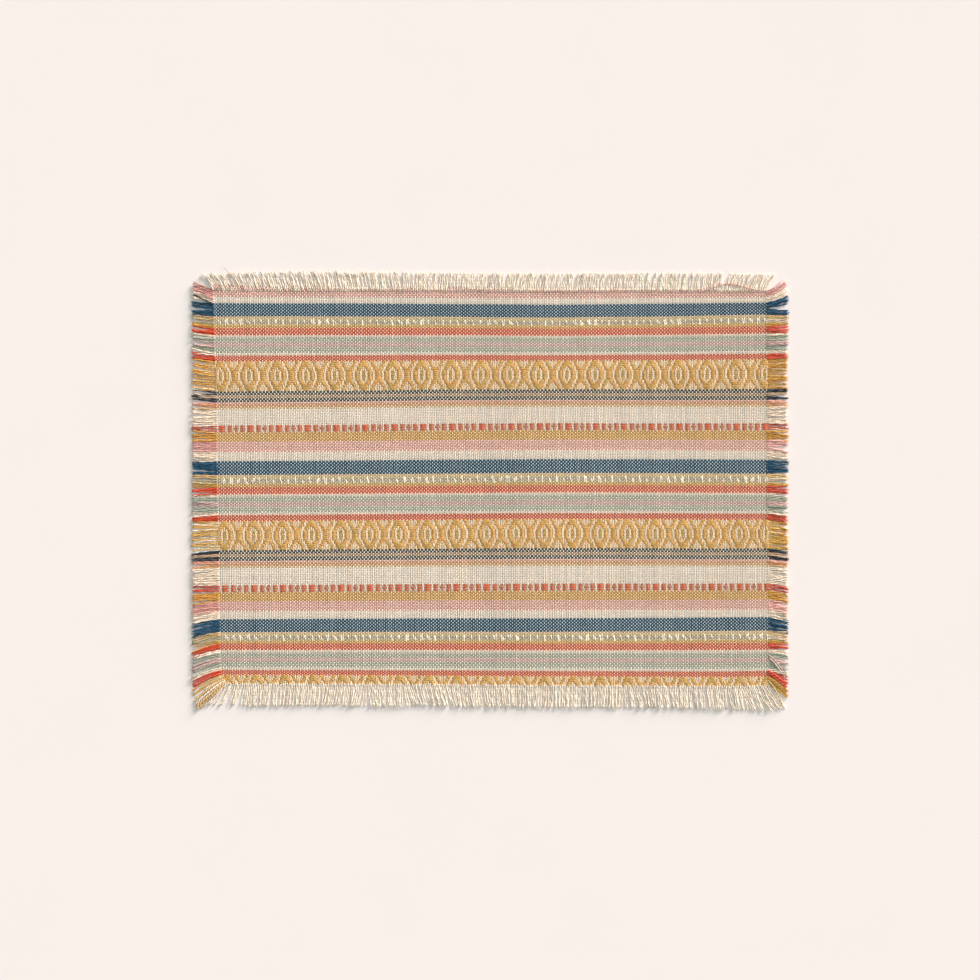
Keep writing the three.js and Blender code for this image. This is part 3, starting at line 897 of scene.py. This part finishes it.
def ribbon_piece(name, paths, half_widths, across, colours, own, drop):
    """Crowned strips along many yarns: two faces wide, highest along the middle.

    paths is yarns by stations by three, in millimetres, and across the unit vector to the strips' side.
    """
    yarns, stations, _ = paths.shape
    offsets = np.array([-1.0, 0.0, 1.0])
    points = np.repeat(paths[:, :, None, :], 3, axis=2)
    points += offsets[:, None] * half_widths[:, :, None, None] * np.array(across)
    points[:, :, 0::2, 2] -= drop[:, :, None]
    steps = np.linalg.norm(np.diff(paths, axis=1), axis=2)
    along = np.concatenate([np.zeros((yarns, 1)), np.cumsum(steps, axis=1)], axis=1)
    faces = grid_faces(stations, 3, yarns)
    if np.cross(across, paths[0, 1] - paths[0, 0])[2] < 0:
        faces = faces[:, ::-1]
    places = (along[:, :, None], offsets, own[:, None, None])
    return yarn_mesh(name, points, faces, *places, colours[:, :, None])


def dye(rng, yarns, amount):
    """Each yarn's own factor of its colour: a little lighter or darker, and warmer or cooler."""
    light = 1 + amount * rng.uniform(-1, 1, (yarns, 1))
    warmth = amount * 0.35 * rng.uniform(-1, 1, (yarns, 1))
    return light * (1 + warmth * np.array([1.0, 0.0, -1.0]))


def worn(rng, yarns, stations, amount):
    """Factors that make the yarns lighter or darker from one crossing to the next."""
    return 1 + amount * rng.uniform(-1, 1, (yarns, stations, 1))


def with_ends(values, axis):
    """The values with the first and the last ones repeated beyond them."""
    first = np.take(values, [0], axis)
    last = np.take(values, [-1], axis)
    return np.concatenate([first, values, last], axis)


def two_halves(kind, sides, paths, widths, across, colours, own, drops):
    """The strips of all warp or weft yarns, as two pieces."""
    middle = len(paths) // 2
    made = []
    for side, part in zip(sides, (slice(0, middle), slice(middle, None))):
        yarns = (paths[part], widths[part] / 2, across, colours[part], own[part], drops[part])
        made.append(ribbon_piece(f"{kind}_yarns_{side}", *yarns))
    return made


def warp_yarns(draft, cloth):
    """The cream ends, in a left and a right half."""
    rng = draws("warp")
    top, _ = draft.crown_heights()
    x, y = place(draft.real_x, draft.real_y.T)
    low = np.full(WARP_ENDS, WARP_CROWN - RIM_SINK)
    paths = with_ends(np.stack([x, y, top], axis=-1), 1)
    paths[:, 0] = np.stack([*draft.edge_places("back"), low], axis=-1)
    paths[:, -1] = np.stack([*draft.edge_places("front"), low], axis=-1)
    ticks = draft.ticks & draft.tick_ends[:, None]
    widths = cloth.warp_width / MM * np.where(draft.warp_up, 1.0, UNDER_WARP)
    widths = np.where(draft.creams, CREAM_WIDTH, widths)
    widths = np.where(draft.warp_up & draft.figured, RING_WIDTH, widths)
    widths = np.where(draft.warp_up & ticks, rng.uniform(*TICK_WIDTHS, widths.shape), widths)
    widths = with_ends(widths, 1) * rng.uniform(*THICKNESSES, (WARP_ENDS, 1))
    colours = with_ends(draft.over_colours, 0)[None] * dye(rng, WARP_ENDS, WARP_DYE)[:, None]
    glow = np.where(ticks, rng.uniform(*TICK_GLOWS, (WARP_ENDS, 1)), 1.0)
    colours = colours * with_ends(glow, 1)[..., None]
    colours = np.clip(colours * worn(rng, WARP_ENDS, draft.picks + 2, WARP_WEAR), 0, 1)
    own = rng.uniform(0, 1, WARP_ENDS)
    drops = np.full(widths.shape, CROWN_DROP)
    return two_halves("warp", ("left", "right"), paths, widths, (1, 0, 0), colours, own, drops)


def weft_yarns(draft, cloth):
    """The coloured picks, in a back and a front half."""
    rng = draws("weft")
    _, top = draft.crown_heights()
    x, y = place(draft.steady_x, draft.real_y.T)
    low = np.full(draft.picks, WARP_CROWN - RIM_SINK)
    paths = with_ends(np.stack([x, y, top], axis=-1).transpose(1, 0, 2), 1)
    for station, nominal in ((0, NOMINAL_LEFT), (-1, NOMINAL_RIGHT)):
        edge = place(np.full(draft.picks, nominal), draft.levels)
        paths[:, station] = np.stack([*edge, low], axis=-1)
    full = np.minimum(draft.heights * cloth.weft_cover, WIDEST_PICK)
    full = np.where(draft.creams, CREAM_COVER * full, full)
    full = np.where(draft.names == "navy", NAVY_COVER * full, full)[:, None]
    widths = np.where(draft.warp_up.T, UNDER_WEFT * full, full)
    widths = with_ends(np.where(draft.floats.T, FLOAT_WIDTH, widths), 1)
    drops = with_ends(np.where(draft.floats.T, FLOAT_DROP, CROWN_DROP), 1)
    colours = draft.colours * dye(rng, draft.picks, WEFT_DYE)
    colours = np.repeat(colours[:, None], WARP_ENDS, axis=1)
    # The floats in the eyes' middles are painted darker as painted shade; those of the dashes get their own
    # tints
    step = np.abs(draft.steps)
    for band, (first, last), tint in FLOAT_TINTS_AND_SHADE:
        inside = (step >= first) & (step <= last)
        tint_and_shade_mask = draft.floats & (draft.figures == band) & inside[:, None]
        colours = np.where(tint_and_shade_mask.T[..., None], colours * np.array(tint), colours)
    eyes = draft.eyes[:, None, None]
    colours = with_ends(colours, 1) * worn(rng, draft.picks, WARP_ENDS + 2, np.where(eyes, *WEFT_WEAR))
    warmth = np.where(eyes, *WARMTH) * rng.uniform(-1, 1, (draft.picks, WARP_ENDS + 2, 1))
    colours = colours * (1 + warmth * np.array(WARMTH_SHARES))
    tone = 1 + waves(rng, EDGE_PICKS, draft.end_x, *EDGE_TONE)
    colours[:EDGE_PICKS] *= with_ends(tone, 1)[..., None]
    own = rng.uniform(0, 1, draft.picks)
    return two_halves("weft", ("back", "front"), paths, widths, (0, 1, 0), colours, own, drops)


def joined(first, second):
    """Quads all the way round between two rings of points."""
    return np.stack([first, np.roll(first, -1), np.roll(second, -1), second], axis=1)


def cloth_body(draft, cloth):
    """The closed body of the cloth under its yarns, with a flat underside and a rounded rim."""
    across = np.linspace(NOMINAL_LEFT, NOMINAL_RIGHT, BODY_COLUMNS)
    bounds = np.concatenate([[LINE_LEVELS["back"]], draft.levels - draft.heights / 2])
    grid_x, grid_y = np.meshgrid(across, bounds)
    x, y = place(grid_x, grid_y)
    rows, columns = x.shape
    middle = np.array([x.mean(), y.mean()])

    def layer(height, inset):
        shrink = 1 - inset / np.array([np.ptp(x) / 2, np.ptp(y) / 2])
        flat = middle + (np.stack([x, y], axis=-1) - middle) * shrink
        return np.concatenate([flat, np.full((rows, columns, 1), height)], axis=-1).reshape(-1, 3)

    grid = np.arange(x.size).reshape(x.shape)
    ring = np.concatenate([grid[0, :-1], grid[:-1, -1], grid[-1, :0:-1], grid[:0:-1, 0]])
    rim = 2 * x.size + np.arange(len(ring))
    outer = layer(BODY_TOP / 2, 0.0)[ring]
    points = np.concatenate([layer(BODY_TOP, RIM_INSET), layer(0.0, RIM_INSET), outer])
    faces = grid_faces(rows, columns)
    faces = np.concatenate([faces[:, ::-1], faces + x.size, joined(ring, rim), joined(rim, ring + x.size)])
    end = (grid_x - draft.end_x[0]) / WARP_PITCH + 0.5
    pick = np.repeat(np.arange(rows)[:, None], columns, 1)
    shades = draft.colours[np.clip(np.arange(rows), 0, draft.picks - 1)]
    shades = np.repeat(shades[:, None], columns, 1).reshape(-1, 3)
    weave = np.stack([end, pick, np.ones_like(end)], axis=-1).reshape(-1, 3)
    vectors = {
        "weave": np.concatenate([weave * np.array([1, 1, 0]), weave, weave[ring]]),
        "warp_colour": np.repeat([np.array(cloth.cream)], len(points), 0),
    }
    colours = np.concatenate([shades, shades, shades[ring]])
    bake = fill_map(points)
    bake[: x.size, 1] = TOP_STRIP[0] + TOP_STRIP[1] * bake[: x.size, 1]
    bake[x.size :, 1] *= REST_SHARE
    return build_mesh("cloth_body", to_frame(points), faces, vectors, colours, bake)


def uneven(index, seed):
    """The small unevenness from lock to lock, between -1 and 1."""
    return sum(weight * np.sin(index * step + seed * shift) for weight, step, shift in UNEVEN_WAVES)


def fringe_paths(rng, side, places, edge, radius):
    """Centre lines of a side's yarn ends, from just inside the cloth to the trim line.

    places is each end's place along the side and edge the level of the cloth's edge there.
    """
    fringe = FRINGES[side]
    outward = np.array(fringe["outward"], float)
    along = np.abs(outward[::-1])
    pitch = (fringe["last"] - fringe["first"]) / (fringe["locks"] - 1)
    lock = np.clip(np.round((places - fringe["first"]) / pitch), 0, fringe["locks"] - 1)
    lock_at = fringe["first"] + pitch * lock
    seed = list(FRINGES).index(side) + 1
    trim = read(fringe["rows"], "at", places, "trim")
    lean = read(fringe["rows"], "at", places, "lean") + LEAN_UNEVENNESS * uneven(lock, seed + 1)
    lean = lean + rng.normal(0, fringe["unruly"], len(places))
    reach = np.abs(trim - edge) + rng.uniform(*TRIM_UNEVENNESS, len(places))
    inset, root_height = fringe["root"]
    root_height = root_height + rng.normal(0, ROOT_UNEVENNESS, (len(places), 1))
    offset = reach * np.tan(np.radians(lean))
    share = np.linspace(0, 1, END_STATIONS)
    sway = SWAY[0] * share + SWAY[1] * share**2
    out = -inset + (reach[:, None] + inset) * share
    inner = (places - lock_at)[:, None] * (1 - TIP_SQUEEZE) * share ** POWERS["squeeze"]
    wander = waves(rng, len(places), share, SWAY_LENGTH, fringe["sway"]) * share ** POWERS["wander"]
    sideways = places[:, None] + offset[:, None] * sway - inner + wander
    for at, gap in fringe["partings"]:
        away = places - at
        push = np.sign(away) * gap / 2 * np.exp(-np.abs(away) / PARTING_REACH)
        sideways = sideways + push[:, None] * share ** POWERS["parting"]
    lift = np.abs(rng.normal(0, MIDDLE_LIFT, (len(places), 1))) * np.sin(math.pi * share) ** 2
    lift = lift + TIP_LIFT * rng.beta(*TIP_LIFTS, (len(places), 1)) * share ** POWERS["lift"]
    height = radius[:, None] + (root_height - radius[:, None]) * (1 - share) ** POWERS["fall"] + lift
    level = edge[:, None] + outward.sum() * out
    flat = level[..., None] * np.abs(outward) + sideways[..., None] * along
    return np.concatenate([flat, height[..., None]], axis=-1)


def late(share, start, length, amount):
    """A factor that stays one along a yarn end, and changes by the amount near its cut."""
    return 1 + amount * np.clip((share - start) / length, 0, 1) ** 2


def plied_ends(name, paths, radius, colours, own, lay, rng):
    """Yarn ends of two plies that twist round each other and open at the cut."""
    count, stations, _ = paths.shape
    step = np.gradient(paths, axis=1)
    length = np.linalg.norm(step, axis=2)
    tangent = step / length[..., None]
    side = np.cross(tangent, [0, 0, 1.0])
    side /= np.linalg.norm(side, axis=2, keepdims=True)
    above = np.cross(side, tangent)
    along = np.cumsum(length, axis=1) - length[:, :1]
    share = along / along[:, -1:]
    away = PLY_DISTANCE * radius[:, None] * late(share, *PLY_OPENING)
    thick = PLY_RADIUS * radius[:, None] * late(share, *PLY_TAPER)
    angle = 2 * math.pi * np.arange(PLY_SIDES) / PLY_SIDES
    rim = np.cos(angle)[:, None] * side[:, :, None] + np.sin(angle)[:, None] * above[:, :, None]
    phase = rng.uniform(0, 2 * math.pi, (count, 1))
    plies = []
    for ply in range(2):
        turn = 2 * math.pi * along / lay + ply * math.pi + phase
        centre = paths + away[..., None] * (np.cos(turn)[..., None] * side + np.sin(turn)[..., None] * above)
        centre[..., 2] = np.maximum(centre[..., 2], thick + PLY_ROOM)
        plies.append(centre[:, :, None] + thick[:, :, None, None] * rim)
    first = np.arange(count * 2)[:, None] * stations * PLY_SIDES
    root = first + np.arange(PLY_SIDES)[::-1]
    tip = first + (stations - 1) * PLY_SIDES + np.arange(PLY_SIDES)
    faces = np.concatenate([grid_faces(stations, PLY_SIDES, count * 2, closed=True), root, tip])
    places = (along[:, None, :, None], np.cos(angle), own[:, None, None, None])
    bake_map = column_map(count, stations, 2 * PLY_SIDES)
    return yarn_mesh(name, np.stack(plies, axis=1), faces, *places, colours[:, None, :, None], bake_map)


def column_map(count, stations, around):
    """A bake map with a column for each yarn end, in a few rows."""
    wide = math.ceil(count / MAP_ROWS)
    end = np.arange(count)[:, None, None]
    station = np.arange(stations)[None, None, :]
    face = np.arange(around)[None, :, None]
    u = (end % wide + within((face + 0.5) / around, MAP_GAPS[0])) / wide
    v = (end // wide + within(station / (stations - 1), MAP_GAPS[1])) / MAP_ROWS
    flat = np.stack(np.broadcast_arrays(u, v), axis=-1).reshape(count, 2, around // 2, stations, 2)
    return flat.transpose(0, 1, 3, 2, 4).reshape(-1, 2)


def fringe_piece(side, draft, cloth, fringe):
    """One side's fringe: an end for each warp yarn, or for each pick at the short sides."""
    rng = draws("fringes", side)
    if side in ("back", "front"):
        places, edge = draft.edge_places(side)
        colours = np.array(cloth.cream) * dye(rng, WARP_ENDS, WARP_DYE)
        thick = np.full(WARP_ENDS, fringe.warp_end / MM / 2)
    else:
        nominal = NOMINAL_LEFT if side == "left" else NOMINAL_RIGHT
        edge, places = place(np.full(draft.picks, nominal), draft.levels)
        # Painted light: the ends are painted lighter than their yarns
        colours = END_PAINTED_LIGHT * draft.end_colours * dye(rng, draft.picks, END_DYE)
        for group, tint in SIDE_TINTS[side].items():
            colours = np.where(draft.group(group)[:, None], colours * np.array(tint), colours)
        thick = np.clip(draft.heights * SHORT_END_COVER, LEAST_END, fringe.weft_end / MM / 2)
    thick = thick * rng.uniform(*THICKNESSES, len(places))
    paths = fringe_paths(rng, side, places, edge, thick)
    share = np.linspace(0, 1, END_STATIONS)
    colours = np.repeat(colours[:, None], END_STATIONS, axis=1)
    # Painted light: the ends are painted lighter or darker from root to tip
    root, tip = FRINGES[side]["glow"]
    colours = colours * (root + (tip - root) * share)[:, None]
    if side == "back":
        # Browner and darker roots: partly brown fuzz, partly painted shade between the ends
        strength = read(ROOT_SHARE, "x", places, "share") * rng.uniform(*ROOT_SHARES, len(places))
        strength = np.clip(strength, 0, 1)
        fuzz_and_shade = strength[:, None] * np.exp(-((share / ROOT_REACH) ** 2))
        brown = np.array(srgb(*ROOT_FUZZ_AND_SHADE))
        colours = colours * (1 - fuzz_and_shade[..., None]) + brown * fuzz_and_shade[..., None]
    own = rng.uniform(0, 1, len(places))
    lay = fringe.lay / MM
    return plied_ends(f"{side}_fringe_ends", paths, thick, np.clip(colours, 0, 1), own, lay, rng)


def evenly(points, stations):
    """A smooth line with evenly spaced stations that passes close by a few points."""
    points = np.array(points, float)
    length = np.concatenate([[0], np.cumsum(np.linalg.norm(np.diff(points, axis=0), axis=1))])
    at = np.linspace(0, length[-1], stations)
    line = np.stack([np.interp(at, length, column) for column in points.T], axis=-1)
    for _ in range(stations // 3):
        line[1:-1] = (line[:-2] + 2 * line[1:-1] + line[2:]) / 4
    return line


def loose_yarns(side, yarns):
    """The yarns that have worked loose beside one fringe."""
    rng = draws("loose", side)
    names, widths, lines = zip(*(row[1:] for row in LOOSE_YARNS if row[0] == side))
    share = np.linspace(0, 1, LOOSE_STATIONS)
    height = LOOSE_HEIGHT - LOOSE_FALL * share + LOOSE_ARCH * np.sin(math.pi * share) ** 2
    paths = np.array([np.column_stack([evenly(line, LOOSE_STATIONS), height]) for line in lines])
    # Painted light: the loose yarns are painted lighter than their yarns
    colours = END_PAINTED_LIGHT * np.array([yarns[name][0] for name in names]) * dye(rng, len(names), END_DYE)
    colours = np.clip(np.repeat(colours[:, None], LOOSE_STATIONS, axis=1), 0, 1)
    own = rng.uniform(0, 1, len(names))
    return plied_ends(f"{side}_loose_yarns", paths, np.array(widths) / 2, colours, own, LOOSE_LAY, rng)


def slipped_picks(draft, yarns):
    """The outermost picks at the far edge, slipped out and running over and under the fringe's roots."""
    rng = draws("slipped")
    x, edge = draft.edge_places("back")
    between = (x[:-1] + x[1:]) / 2
    at = np.sort(np.concatenate([x, between]))
    paths = []
    for turn, out in enumerate(SLIPPED_PICKS.values()):
        away = read(out, "x", at, "out")
        station = math.pi * (np.arange(len(at)) / 2 + turn)
        y = np.interp(at, x, edge) + away * (1 + SLIPPED_SLANT * np.sin(station))
        y += SLIPPED_WANDER * np.sin(at * (0.9 + 0.3 * turn))
        height = SLIPPED_HEIGHT + SLIPPED_WAVE * np.cos(station)
        paths.append(np.stack([at, y, height], axis=-1))
    # Painted light: the slipped picks are painted lighter than their yarns
    colours = np.array([yarns[name][0] for name in SLIPPED_PICKS]) * SLIPPED_PAINTED_LIGHT
    colours = np.repeat(colours[:, None], len(at), axis=1)
    thick = np.full(len(paths), SLIPPED_THICKNESS / 2)
    own = np.array([0.3, 0.7])
    return plied_ends("slipped_picks", np.array(paths), thick, colours, own, SLIPPED_LAY, rng)


class ClothSettings(bpy.types.PropertyGroup):
    """Yarn sizes and colours of the cloth."""

    warp_width: FloatProperty(
        name="Warp width", description="Width of a warp yarn where it lies on top",
        unit="LENGTH", default=0.00094, min=0.0003, max=0.0014,
    )
    weft_cover: FloatProperty(
        name="Weft cover", description="Width of a pick as a share of the room that it has",
        subtype="FACTOR", default=1.16, min=0.5, max=1.5,
    )

    def change(self, name):
        """How a yarn's colour differs from its default, as a factor."""
        return np.array(getattr(self, name)) / np.array(self.bl_rna.properties[name].default_array)

    def yarns(self):
        """For every yarn its own colour, that of its picks and that of the cream ends over them."""
        found = {"float": (None, self.change("mustard") * srgb(*FLOAT_TINT), np.array(srgb(*RING_TINT)))}
        for name, (_, _, pick, over) in YARNS.items():
            own = np.array(getattr(self, name))
            found[name] = (own, self.change(name) * srgb(*pick), self.change("cream") * srgb(*over))
        return found


for yarn, (use, own, _, _) in YARNS.items():
    ClothSettings.__annotations__[yarn] = FloatVectorProperty(
        name=yarn.capitalize(), description=use, subtype="COLOR", default=srgb(*own)
    )


class FringeSettings(bpy.types.PropertyGroup):
    """Sizes of the yarn ends."""

    warp_end: FloatProperty(
        name="Warp end", description="Thickness of a yarn end at the long sides",
        unit="LENGTH", default=0.00108, min=0.0004, max=0.002,
    )
    weft_end: FloatProperty(
        name="Weft end", description="Greatest thickness of a yarn end at the short sides",
        unit="LENGTH", default=0.0014, min=0.0004, max=0.002,
    )
    lay: FloatProperty(
        name="Lay", description="Length in which the plies of an end twist once round",
        unit="LENGTH", default=0.015, min=0.003, max=0.05,
    )


class StageSettings(bpy.types.PropertyGroup):
    """Camera, lamps and floor."""

    lens: FloatProperty(
        name="Lens", description="Focal length of the camera",
        subtype="DISTANCE_CAMERA", default=85.0, min=20.0, max=200.0,
    )
    view_width: FloatProperty(
        name="View width", description="Width of the table that the image shows",
        unit="LENGTH", default=980 * 0.000806, min=0.3, max=2.0,
    )
    top_light: FloatProperty(
        name="Top lamp", description="Light on the floor from the wide lamp overhead",
        default=0.26, min=0.0,
    )
    side_light: FloatProperty(
        name="Side lamp", description="Light on the floor from the low lamp at the side",
        default=0.52, min=0.0,
    )
    side_height: FloatProperty(
        name="Side lamp height", description="Angle of the low lamp above the table, in degrees",
        default=17.0, min=5.0, max=85.0,
    )
    room: FloatProperty(name="Room light", description="Strength of the even light", default=0.28, min=0.0)
    floor: FloatVectorProperty(
        name="Floor", description="Colour of the floor", subtype="COLOR", default=(0.90, 0.82, 0.775)
    )


# Middle of the view on the table, in the tables' millimetres, and the side that the low lamp stands on
VIEW_CENTRE = (0.4, 1.9)
LAMP_TURN = math.radians(48)
FLOOR_REACH = 3.0

# The lamps' softness in degrees and their colours
TOP_LAMP = (80.0, (1.0, 1.0, 1.0))
SIDE_LAMP = (26.0, (1.08, 0.99, 0.99))

# The room is brighter near the table's level: the heights between which it fades, and its light below them
ROOM_EDGE = (0.03, 0.16)
EDGE_LIGHT = 0.86
ROOM_COLOUR = (0.85, 1.02, 1.02, 1.0)


class PLACEMAT_OT_stage(bpy.types.Operator):
    """Make the pale floor, the soft lamps and the camera straight above"""

    bl_idname = "placemat.stage"
    bl_label = "Floor, lamps and camera"

    def execute(self, context):
        settings = context.scene.placemat_stage
        context.scene.view_settings.view_transform = "Standard"
        centre = to_frame(np.array([[*VIEW_CENTRE, 0.0]]))[0]
        camera = bpy.data.cameras.new("camera")
        camera.lens = settings.lens
        holder = bpy.data.objects.new("camera", camera)
        distance = settings.view_width * camera.lens / camera.sensor_width
        holder.location = (centre[0], centre[1], distance)
        context.collection.objects.link(holder)
        context.scene.camera = holder

        corners = FLOOR_REACH * np.array([[-1, -1, 0], [1, -1, 0], [1, 1, 0], [-1, 1, 0]])
        ground = build_mesh("floor", corners, np.array([[0, 1, 2, 3]]))
        ground.data.materials.append(floor_material(settings.floor))

        self.lamp("lamp_top", 90.0, settings.top_light, *TOP_LAMP)
        self.lamp("lamp_side", settings.side_height, settings.side_light, *SIDE_LAMP)
        room = Nodes(bpy.data.worlds.new("room"), "Background")
        height = room.apart(room.add("TexCoord")["Generated"])["Z"]
        strength = room.ranged(height, *ROOM_EDGE, EDGE_LIGHT, settings.room)
        room.fill(room.shader, {"Strength": strength, "Color": ROOM_COLOUR})
        context.scene.world = room.owner
        return {"FINISHED"}

    def lamp(self, name, height, light, softness, colour):
        """A soft distant lamp at an angle above the table that lights the floor by the given amount."""
        height = math.radians(height)
        lamp = bpy.data.lights.new(name, "SUN")
        lamp.angle = math.radians(softness)
        lamp.color = colour
        lamp.energy = math.pi * light / math.sin(height)
        holder = bpy.data.objects.new(name, lamp)
        holder.rotation_euler = (0.0, math.pi / 2 - height, LAMP_TURN)
        bpy.context.collection.objects.link(holder)


class PLACEMAT_OT_body(bpy.types.Operator):
    """Make the closed body of the cloth, which shows at its rim and underneath"""

    bl_idname = "placemat.body"
    bl_label = "Cloth body"

    def execute(self, context):
        cloth = context.scene.placemat_cloth
        body = cloth_body(Draft(cloth.yarns()), cloth)
        finish_piece(body, body_material("cloth_underside"), "striped_cloth", "cloth")
        return {"FINISHED"}


class PLACEMAT_OT_warp(bpy.types.Operator):
    """Lay the cream warp yarns over and under the picks"""

    bl_idname = "placemat.warp"
    bl_label = "Warp yarns"

    def execute(self, context):
        cloth = context.scene.placemat_cloth
        yarn = yarn_material("warp_yarn", 0.14, WARP_EDGE_SHADE)
        for piece in warp_yarns(Draft(cloth.yarns()), cloth):
            finish_piece(piece, yarn, "striped_cloth", "cloth")
        return {"FINISHED"}


class PLACEMAT_OT_weft(bpy.types.Operator):
    """Lay the coloured picks, with their floats in the figured bands"""

    bl_idname = "placemat.weft"
    bl_label = "Weft yarns"

    def execute(self, context):
        cloth = context.scene.placemat_cloth
        yarn = yarn_material("weft_yarn", 0.16, WEFT_EDGE_SHADE)
        for piece in weft_yarns(Draft(cloth.yarns()), cloth):
            finish_piece(piece, yarn, "striped_cloth", "cloth")
        return {"FINISHED"}


class PLACEMAT_OT_fringes(bpy.types.Operator):
    """Make the four fringes of the cloth's own yarn ends"""

    bl_idname = "placemat.fringes"
    bl_label = "Fringes"

    def execute(self, context):
        cloth = context.scene.placemat_cloth
        draft = Draft(cloth.yarns())
        yarn = yarn_material("fringe_yarn", 0.12, END_EDGE_SHADE)
        for side in FRINGES:
            piece = fringe_piece(side, draft, cloth, context.scene.placemat_fringe)
            finish_piece(piece, yarn, fringe_slot(side), f"fringe_{side}")
        return {"FINISHED"}


class PLACEMAT_OT_loose(bpy.types.Operator):
    """Add the slipped outer picks and the few yarns that have worked loose at the corners"""

    bl_idname = "placemat.loose"
    bl_label = "Loose yarns"

    def execute(self, context):
        yarns = context.scene.placemat_cloth.yarns()
        yarn = yarn_material("loose_yarn", 0.12, END_EDGE_SHADE)
        for side in ("back", "left", "right"):
            finish_piece(loose_yarns(side, yarns), yarn, fringe_slot(side), f"fringe_{side}")
        finish_piece(slipped_picks(Draft(yarns), yarns), yarn, "warp_fringe", "fringe_back")
        return {"FINISHED"}


class PLACEMAT_OT_declare(bpy.types.Operator):
    """Stop with an error if the cloth's body has not been made"""

    bl_idname = "placemat.declare"
    bl_label = "Flat size"

    def execute(self, context):
        body = bpy.data.objects.get("cloth_body")
        if body is None:
            raise RuntimeError("the cloth has to be made first")
        return {"FINISHED"}


class PLACEMAT_PT_panel(bpy.types.Panel):
    """Lists the steps and the sizes of the placemat"""

    bl_label = "Placemat"
    bl_idname = "PLACEMAT_PT_panel"
    bl_space_type = "VIEW_3D"
    bl_region_type = "UI"
    bl_category = "Placemat"

    def draw(self, context):
        layout = self.layout
        for step in STEPS:
            layout.operator(step.bl_idname)
        for group in GROUPS:
            settings = getattr(context.scene, group)
            for name in settings.__annotations__:
                layout.prop(settings, name)


GROUPS = {
    "placemat_stage": StageSettings,
    "placemat_cloth": ClothSettings,
    "placemat_fringe": FringeSettings,
}
STEPS = (
    PLACEMAT_OT_stage,
    PLACEMAT_OT_body,
    PLACEMAT_OT_warp,
    PLACEMAT_OT_weft,
    PLACEMAT_OT_fringes,
    PLACEMAT_OT_loose,
    PLACEMAT_OT_declare,
)


def register():
    for item in (*GROUPS.values(), *STEPS, PLACEMAT_PT_panel):
        bpy.utils.register_class(item)
    for name, group in GROUPS.items():
        setattr(bpy.types.Scene, name, PointerProperty(type=group))


def unregister():
    for name in GROUPS:
        delattr(bpy.types.Scene, name)
    for item in reversed((*GROUPS.values(), *STEPS, PLACEMAT_PT_panel)):
        bpy.utils.unregister_class(item)


def main():
    register()
    bpy.ops.placemat.stage()
    bpy.ops.placemat.body()
    bpy.ops.placemat.warp()
    bpy.ops.placemat.weft()
    bpy.ops.placemat.fringes()
    bpy.ops.placemat.loose()
    bpy.ops.placemat.declare()


if __name__ == "__main__":
    main()
